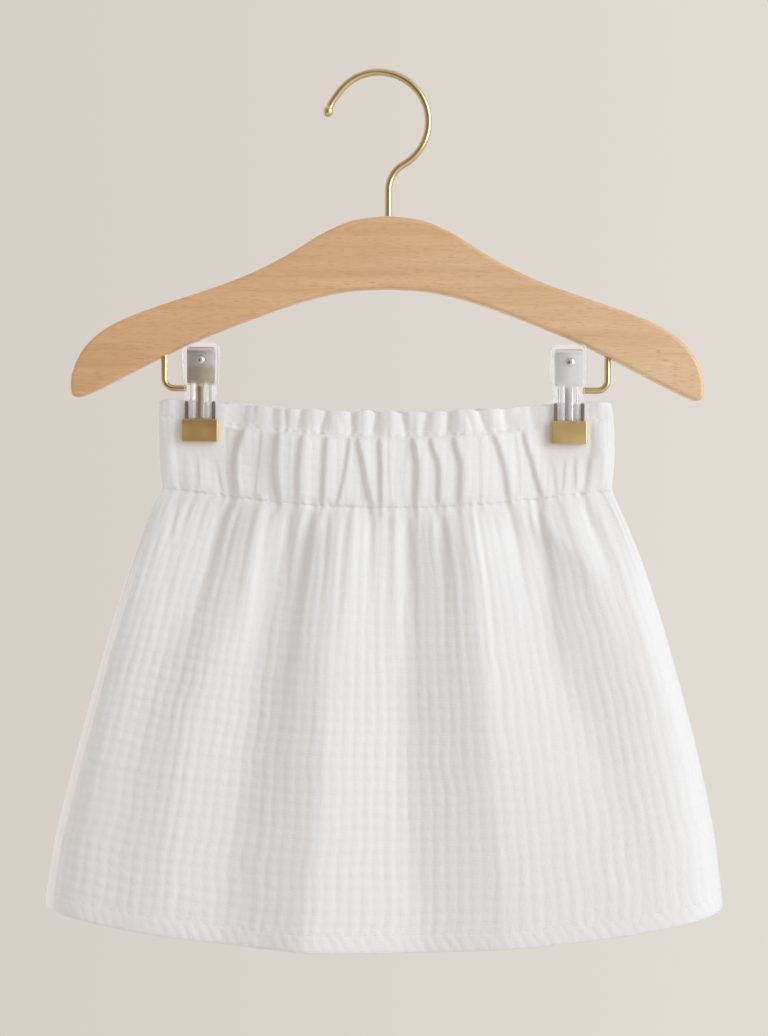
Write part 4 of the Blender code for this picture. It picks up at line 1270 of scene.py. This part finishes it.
path, radii = [], []
for k in range(19):
    turn = mix(0.02 * pi, 0.765 * pi, k / 18)
    path.append(bow(HOOK_START + ball * cos(turn) / radians(HOOK_RADIUS)))
    radii.append(ball * sin(turn))
for k in range(110):
    path.append(bow(mix(HOOK_START - 7.0, HOOK_STOP, k / 109)))
    radii.append(HOOK_WIRE / 2)
bend_x, bend_z = path[-1][0], path[-1][2]
centre_x = bend_x + NECK_RADIUS * cos(radians(HOOK_STOP))
centre_z = bend_z + NECK_RADIUS * sin(radians(HOOK_STOP))
for k in range(1, 25):
    angle = radians(mix(180.0 + HOOK_STOP, 180.0, k / 24))
    path.append((centre_x + NECK_RADIUS * cos(angle), 0.0, centre_z + NECK_RADIUS * sin(angle)))
    radii.append(HOOK_WIRE / 2)
foot = WOOD_SECTIONS[0][1] - HOOK_BORE_DEPTH
drift = AXIS_X - path[-1][0]
for k in range(12):
    share = smooth((k + 1) / 12.0)
    z = mix(path[-1][2], WOOD_SECTIONS[0][1], 1.0 / (12 - k)) if k < 11 else WOOD_SECTIONS[0][1]
    path.append((AXIS_X, 0.0, z))
    radii.append(HOOK_WIRE / 2)
path.append((AXIS_X, 0.0, foot))
radii.append(HOOK_WIRE / 2)
path = np.array(path)
hook = mesh_object("wire_hook", *tube(path, radii, 28), wire_brass, sharp=50.0)
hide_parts("hanger_hook")
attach(hook, "root")

# ================================================================ clips
clip_pieces = []


def leaf(name, middle, out):
    """A clear moulded leaf with rounded edges and two raised ribs on its outer face."""
    heights = np.concatenate([LEAF_TOP - LEAF_CORNER * (1 - np.cos(np.linspace(0, pi / 2, 10))),
                              np.linspace(LEAF_TOP - LEAF_CORNER - 0.8, -174.0, 52), [-174.2]])
    table = [(-r[0], *r[1:]) for r in LEAF_SECTIONS]
    rings = []
    for index, z in enumerate(heights):
        half = float(through(table, -z, 1))
        inside = float(through(table, -z, 2))
        thick = float(through(table, -z, 3))
        rib = float(through(table, -z, 4))
        near = min(LEAF_CORNER, LEAF_TOP - z)
        half -= LEAF_CORNER - sqrt(max(0.0, LEAF_CORNER ** 2 - (LEAF_CORNER - near) ** 2))
        edge = min(0.45, thick / 2.2)
        if index == 0:                            # the top edge, drawn in to round it
            inside, thick, edge = inside + 0.35, thick - 0.7, 0.3
        ring = []
        for corner, (sx, sy) in enumerate(((-1, 0), (1, 0))):
            for k in range(4):
                a = (k / 3) * pi / 2
                if sx < 0:
                    ring.append((-half + edge * (1 - sin(a)), inside + edge * (1 - cos(a))))
                else:
                    ring.append((half - edge * (1 - cos(a)), inside + edge * (1 - sin(a))))
        skin_y = inside + thick
        for k in range(4):
            a = (k / 3) * pi / 2
            ring.append((half - edge * (1 - cos(a)), skin_y - edge * (1 - sin(a))))
        for rib_x in (RIB_X, -RIB_X):
            for k in range(9):
                s = -1.0 + 2.0 * k / 8
                ring.append((rib_x - s * RIB_HALF, skin_y + rib * (1.0 - s * s) ** 0.75 if abs(s) < 1 else skin_y))
        for k in range(4):
            a = (k / 3) * pi / 2
            ring.append((-half + edge * (1 - sin(a)), skin_y - edge * (1 - cos(a))))
        rings.append([(middle + a, out * b, z) for a, b in ring])
    rings = np.array(rings)
    rows, columns = rings.shape[:2]
    points = np.concatenate([rings.reshape(-1, 3), rings[0].mean(0)[None], rings[-1].mean(0)[None]])
    faces3 = []
    for k in range(columns):
        m = (k + 1) % columns
        faces3 += [(rows * columns, m, k), (rows * columns + 1, (rows - 1) * columns + k, (rows - 1) * columns + m)]
    blade = mesh_object(name, points, grid_faces(rows, columns, wrap=True), faces3, clear, sharp=60.0)
    # the rib faces low on the leaf take the whiter copy, a painted highlight
    blade.data.materials.append(clear_rib_painted_highlight)
    for row in range(rows - 1):
        if heights[row] < -156.4:
            for column in (*range(12, 20), *range(21, 29)):
                blade.data.polygons[row * columns + column].material_index = 1
    return blade


def spring(name, middle, finish):
    """The bent steel strip between the leaves: broad bight, narrow tongues."""
    ends = [(-y, z, w) for y, z, w in SPRING_POINTS[:0:-1]] + list(SPRING_POINTS)
    line = np.array([(0.0, y, z) for y, z, w in ends])
    run = np.concatenate([[0.0], np.cumsum(np.linalg.norm(np.diff(line, axis=0), axis=1))])
    at = np.linspace(0.0, run[-1], 121)
    y = through(list(zip(run, line[:, 1])), at, 1)
    z = through(list(zip(run, line[:, 2])), at, 1)
    w = through(list(zip(run, [e[2] for e in ends])), at, 1)
    y, z = np.interp(at, run, line[:, 1]), np.interp(at, run, line[:, 2])
    for _ in range(3):
        y[1:-1] = 0.25 * y[:-2] + 0.5 * y[1:-1] + 0.25 * y[2:]
        z[1:-1] = 0.25 * z[:-2] + 0.5 * z[1:-1] + 0.25 * z[2:]
    along = np.gradient(np.stack([y, z], -1), axis=0)
    along /= np.linalg.norm(along, axis=1, keepdims=True)
    square = np.stack([-along[:, 1], along[:, 0]], -1) * SPRING_THICK / 2
    rings = []
    for k in range(len(at)):
        ring = []
        for side_x, side_n in ((-1, -1), (-0.94, -1.35), (0.94, -1.35), (1, -1), (1, 1), (0.94, 1.35), (-0.94, 1.35), (-1, 1)):
            scale = 0.74 * side_n
            ring.append((middle + side_x * w[k], y[k] + square[k, 0] * scale, z[k] + square[k, 1] * scale))
        rings.append(ring)
    rings = np.array(rings)
    rows, columns = rings.shape[:2]
    points = np.concatenate([rings.reshape(-1, 3), rings[0].mean(0)[None], rings[-1].mean(0)[None]])
    faces3 = []
    for k in range(columns):
        m = (k + 1) % columns
        faces3 += [(rows * columns, m, k), (rows * columns + 1, (rows - 1) * columns + k, (rows - 1) * columns + m)]
    return mesh_object(name, points, grid_faces(rows, columns, wrap=True), faces3, finish, sharp=35.0)


def jaw(name, middle, out, finish):
    """A folded brass cap with soft edges and slightly rounded corners."""
    half, corner, edge = JAW_WIDTH / 2, 1.3, 0.55
    high, low = JAW_TOP, JAW_TOP - JAW_HEIGHT

    def outline(inset):
        ring = []
        for cx, cz, start in ((half - corner, high - corner, 0.0), (-half + corner, high - corner, 90.0),
                              (-half + corner, low + corner, 180.0), (half - corner, low + corner, 270.0)):
            for k in range(9):
                a = radians(start + 90.0 * k / 8)
                ring.append((cx + (corner - inset) * cos(a), cz + (corner - inset) * sin(a)))
        return ring

    rings = []
    profile = [(edge * (1 - sin(a)), edge * (1 - cos(a))) for a in np.linspace(0.0, pi / 2, 6)]
    inner, outer = JAW_INSIDE, JAW_INSIDE + JAW_THICK
    for inset, lift in profile:
        rings.append([(middle + a, out * (inner + lift * 0.5), z) for a, z in outline(inset)])
    for inset, lift in profile[::-1]:
        rings.append([(middle + a, out * (outer - lift), z) for a, z in outline(inset)])
    # a face ring and a centre on each side keep the flat faces flat
    first = [(middle + a, out * inner, z) for a, z in outline(edge + 0.25)]
    last = [(middle + a, out * outer, z) for a, z in outline(edge + 0.25)]
    rings = np.array([first] + rings + [last])
    rows, columns = rings.shape[:2]
    points = np.concatenate([rings.reshape(-1, 3), rings[0].mean(0)[None], rings[-1].mean(0)[None]])
    faces3 = []
    for k in range(columns):
        m = (k + 1) % columns
        faces3 += [(rows * columns, m, k), (rows * columns + 1, (rows - 1) * columns + k, (rows - 1) * columns + m)]
    return mesh_object(name, points, grid_faces(rows, columns, wrap=True), faces3, finish, sharp=60.0)


def dome(name, centre, radius, height, out, finish):
    """The round head of the pin on a leaf's outer face."""
    rings = []
    for k in range(9):
        a = 0.5 * pi * k / 8
        r, lift = radius * cos(a), height * sin(a)
        rings.append([(centre[0] + max(r, 0.02) * cos(b), centre[1] + out * lift, centre[2] + max(r, 0.02) * sin(b))
                      for b in 2 * pi * np.arange(28) / 28])
    foot_ring = [(centre[0] + radius * cos(b), centre[1] - out * 0.4, centre[2] + radius * sin(b))
                 for b in 2 * pi * np.arange(28) / 28]
    rings = np.array([foot_ring] + rings)
    rows, columns = rings.shape[:2]
    points = np.concatenate([rings.reshape(-1, 3), rings[0].mean(0)[None], rings[-1].mean(0)[None]])
    faces3 = []
    for k in range(columns):
        m = (k + 1) % columns
        faces3 += [(rows * columns, m, k), (rows * columns + 1, (rows - 1) * columns + k, (rows - 1) * columns + m)]
    return mesh_object(name, points, grid_faces(rows, columns, wrap=True), faces3, finish, sharp=50.0)


def prongs(name, middle, out):
    """The two short prongs that run up from a cap inside the edges of its leaf."""
    parts = []
    for x in (-PRONG_X, PRONG_X):
        ring = np.array([(x - PRONG_HALF, 3.65), (x + PRONG_HALF, 3.65), (x + PRONG_HALF, 4.25), (x - PRONG_HALF, 4.25)])
        rings = []
        for z, share in ((PRONG_TOP, 0.55), (PRONG_TOP - 0.5, 0.9), (PRONG_TOP - 1.1, 1.0), (JAW_TOP - 0.8, 1.0)):
            middle_of = ring.mean(0)
            rings.append([(middle + a, out * b, z) for a, b in middle_of + (ring - middle_of) * (share, 1.0)])
        rings = np.array(rings)
        parts.append((rings.reshape(-1, 3), np.concatenate([grid_faces(4, 4, wrap=True), [(3, 2, 1, 0), (12, 13, 14, 15)]]), []))
    return mesh_object(name, *joined(parts), prong_brass, sharp=40.0)


for name, way in (("left", -1.0), ("right", 1.0)):
    middle = AXIS_X + way * CLIP_X[name]
    arm_x = ARM_X[name]
    arm_top = float(through(WOOD_SECTIONS, arm_x, 2)) + ARM_BORE_DEPTH
    line = [(AXIS_X + way * arm_x, 0.0, z) for z in np.linspace(arm_top, PIVOT_Z + ARM_BEND, 12)]
    for k in range(1, 13):
        turn = 0.5 * pi * k / 12
        line.append((AXIS_X + way * (arm_x - ARM_BEND * (1.0 - cos(turn))), 0.0, PIVOT_Z + ARM_BEND * (1.0 - sin(turn))))
    line += [(x, 0.0, PIVOT_Z) for x in np.linspace(AXIS_X + way * (arm_x - ARM_BEND) - way * 0.8, middle + way * ARM_END, 8)]
    arm = mesh_object("wire_arm_" + name, *tube(line, ARM_WIRE / 2, 24), wire_brass, sharp=50.0)
    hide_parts("arm_" + name)
    pieces = [arm]
    # each clip's strip takes its own copy of the steel with its painted reflection
    strip = spring("strip_spring_" + name, middle, steel_left_painted_reflection if name == "left" else steel_right_painted_reflection)
    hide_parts("clip_%s_spring" % name)
    pieces.append(strip)
    for face, out in (("front", -1.0), ("back", 1.0)):
        blade = leaf("clear_leaf_%s_%s" % (name, face), middle, out)
        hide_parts("clip_%s_leaf_%s" % (name, face))
        # the left clip's caps take the darker copy of the brass, its painted shade
        cap = jaw("brass_cap_%s_%s" % (name, face), middle, out, cap_left_painted_shade if name == "left" else cap_brass)
        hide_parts("clip_%s_jaw_%s" % (name, face))
        height = -145.0
        table = [(-r[0], *r[1:]) for r in LEAF_SECTIONS]
        skin_y = float(through(table, -height, 2)) + float(through(table, -height, 3))
        pin = dome("pin_head_%s_%s" % (name, face), (middle + 0.2, out * (skin_y - 0.15), height), 2.1, 0.9, out, bright_pin)
        pair = prongs("cap_prongs_%s_%s" % (name, face), middle, out)
        pieces += [blade, cap, pin, pair]
    for piece in pieces:
        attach(piece, "root")
    clip_pieces += pieces

# ================================================================ the cloth pieces, read back for each side
for side in ("front", "back"):
    panel, band, rows = cloth[side]


# ================================================================ floor, light and camera
def make_floor():
    bm = bmesh.new()
    bmesh.ops.create_circle(bm, cap_ends=True, segments=96, radius=1.15)
    mesh = bpy.data.meshes.new("floor")
    bm.to_mesh(mesh)
    bm.free()
    made = Finish("pale_floor", (0.78, 0.76, 0.72), 0.8)
    grain = made.noise(made.place((6.0, 6.0, 6.0)), 1.0, 3.0)
    made.link(made.ramp(grain, ((0.3, (0.76, 0.74, 0.70)), (0.7, (0.80, 0.78, 0.745)))), made.shader.inputs["Base Color"])
    mesh.materials.append(made.material)
    floor = bpy.data.objects.new("floor", mesh)
    floor.location = (0.005, 0.0, -0.78)
    bpy.context.collection.objects.link(floor)


make_floor()

world = bpy.data.worlds.new("studio")
bpy.context.scene.world = world
world.use_nodes = True
tree = world.node_tree
tree.nodes.clear()
output = tree.nodes.new("ShaderNodeOutputWorld")
direction = tree.nodes.new("ShaderNodeTexCoord").outputs["Generated"]
parts = tree.nodes.new("ShaderNodeSeparateXYZ")
tree.links.new(direction, parts.inputs[0])


def world_range(value, low, high, low_colour, high_colour):
    span = tree.nodes.new("ShaderNodeMapRange")
    span.interpolation_type = 'SMOOTHSTEP'
    tree.links.new(value, span.inputs["Value"])
    span.inputs["From Min"].default_value = low
    span.inputs["From Max"].default_value = high
    made = tree.nodes.new("ShaderNodeMix")
    made.data_type = 'RGBA'
    sockets = {s.identifier: s for s in made.inputs}
    tree.links.new(span.outputs["Result"], sockets["Factor_Float"])
    for key, colour in (("A_Color", low_colour), ("B_Color", high_colour)):
        if isinstance(colour, tuple):
            sockets[key].default_value = (*colour, 1.0)
        else:
            tree.links.new(colour, sockets[key])
    return {s.identifier: s for s in made.outputs}["Result_Color"]


# what the eye sees behind the object: a pale warm wall, a little darker at the left, painted shade as if the wall
# were lit from the right
seen = world_range(parts.outputs["X"], -0.16, 0.16, (0.672, 0.628, 0.572), (0.752, 0.712, 0.650))
# what lights it: an even, slightly warm room, and the lit wall behind
right_side = world_range(parts.outputs["X"], -0.40, 0.70, (0.55, 0.50, 0.46), (0.92, 0.89, 0.87))
front_side = world_range(parts.outputs["X"], -0.95, -0.60, (1.05, 1.01, 0.97), right_side)
wall = world_range(parts.outputs["X"], -0.70, 0.30, (2.30, 2.20, 2.10), (0.22, 0.21, 0.20))
room = world_range(parts.outputs["Y"], -0.15, 0.15, front_side, wall)
ceiling = world_range(parts.outputs["X"], -0.50, 0.50, (0.42, 0.405, 0.39), (1.14, 1.12, 1.10))
sky = world_range(parts.outputs["Z"], 0.35, 0.90, room, ceiling)
# what polished things mirror: the same room, with a dark end and a bright window
left_room = world_range(parts.outputs["X"], -0.35, 0.15, (0.42, 0.39, 0.36), (0.68, 0.65, 0.61))
room_side = world_range(parts.outputs["X"], 0.45, 0.75, left_room, (2.2, 2.2, 2.15))
dark_end = world_range(parts.outputs["X"], -0.14, 0.14, (0.03, 0.028, 0.025), (0.60, 0.58, 0.56))
far_end = world_range(parts.outputs["Y"], -0.985, -0.88, dark_end, room_side)
low_light = world_range(parts.outputs["X"], -0.12, 0.12, (0.40, 0.37, 0.34), (0.95, 0.94, 0.92))
low_end = world_range(parts.outputs["Z"], -0.36, -0.20, low_light, far_end)
mirror = world_range(parts.outputs["Y"], -0.45, -0.10, low_end, (0.86, 0.83, 0.80))
rays = tree.nodes.new("ShaderNodeLightPath")


def world_light(colour, strength):
    made = tree.nodes.new("ShaderNodeBackground")
    tree.links.new(colour, made.inputs["Color"])
    made.inputs["Strength"].default_value = strength
    return made.outputs[0]


def world_choice(share, a, b):
    made = tree.nodes.new("ShaderNodeMixShader")
    tree.links.new(share, made.inputs["Fac"])
    tree.links.new(a, made.inputs[1])
    tree.links.new(b, made.inputs[2])
    return made.outputs[0]


lit = world_choice(rays.outputs["Is Glossy Ray"], world_light(sky, 0.82), world_light(mirror, 1.0))
tree.links.new(world_choice(rays.outputs["Is Camera Ray"], lit, world_light(seen, 1.0)), output.inputs["Surface"])


def area_light(name, place, aim, size, power, colour):
    light = bpy.data.lights.new(name, 'AREA')
    light.shape = 'RECTANGLE'
    light.size, light.size_y = size
    light.energy = power
    light.color = colour
    made = bpy.data.objects.new(name, light)
    made.location = place
    made.rotation_euler = (Vector(aim) - Vector(place)).to_track_quat('-Z', 'Y').to_euler()
    bpy.context.collection.objects.link(made)
    return made


area_light("window", (1.42, -0.95, 0.24), (0.0, 0.0, -0.30), (1.0, 1.3), 14.6, (0.88, 0.95, 1.0))

camera_data = bpy.data.cameras.new("camera")
camera_data.lens = 85.0
camera_data.sensor_width = 36.0
camera_data.dof.use_dof = False
camera = bpy.data.objects.new("camera", camera_data)
camera.location = (0.00385, -1.240, -0.2241)
camera.rotation_euler = (radians(90.0), radians(-0.35), 0.0)
bpy.context.collection.objects.link(camera)
bpy.context.scene.camera = camera
bpy.context.scene.view_settings.view_transform = 'Standard'
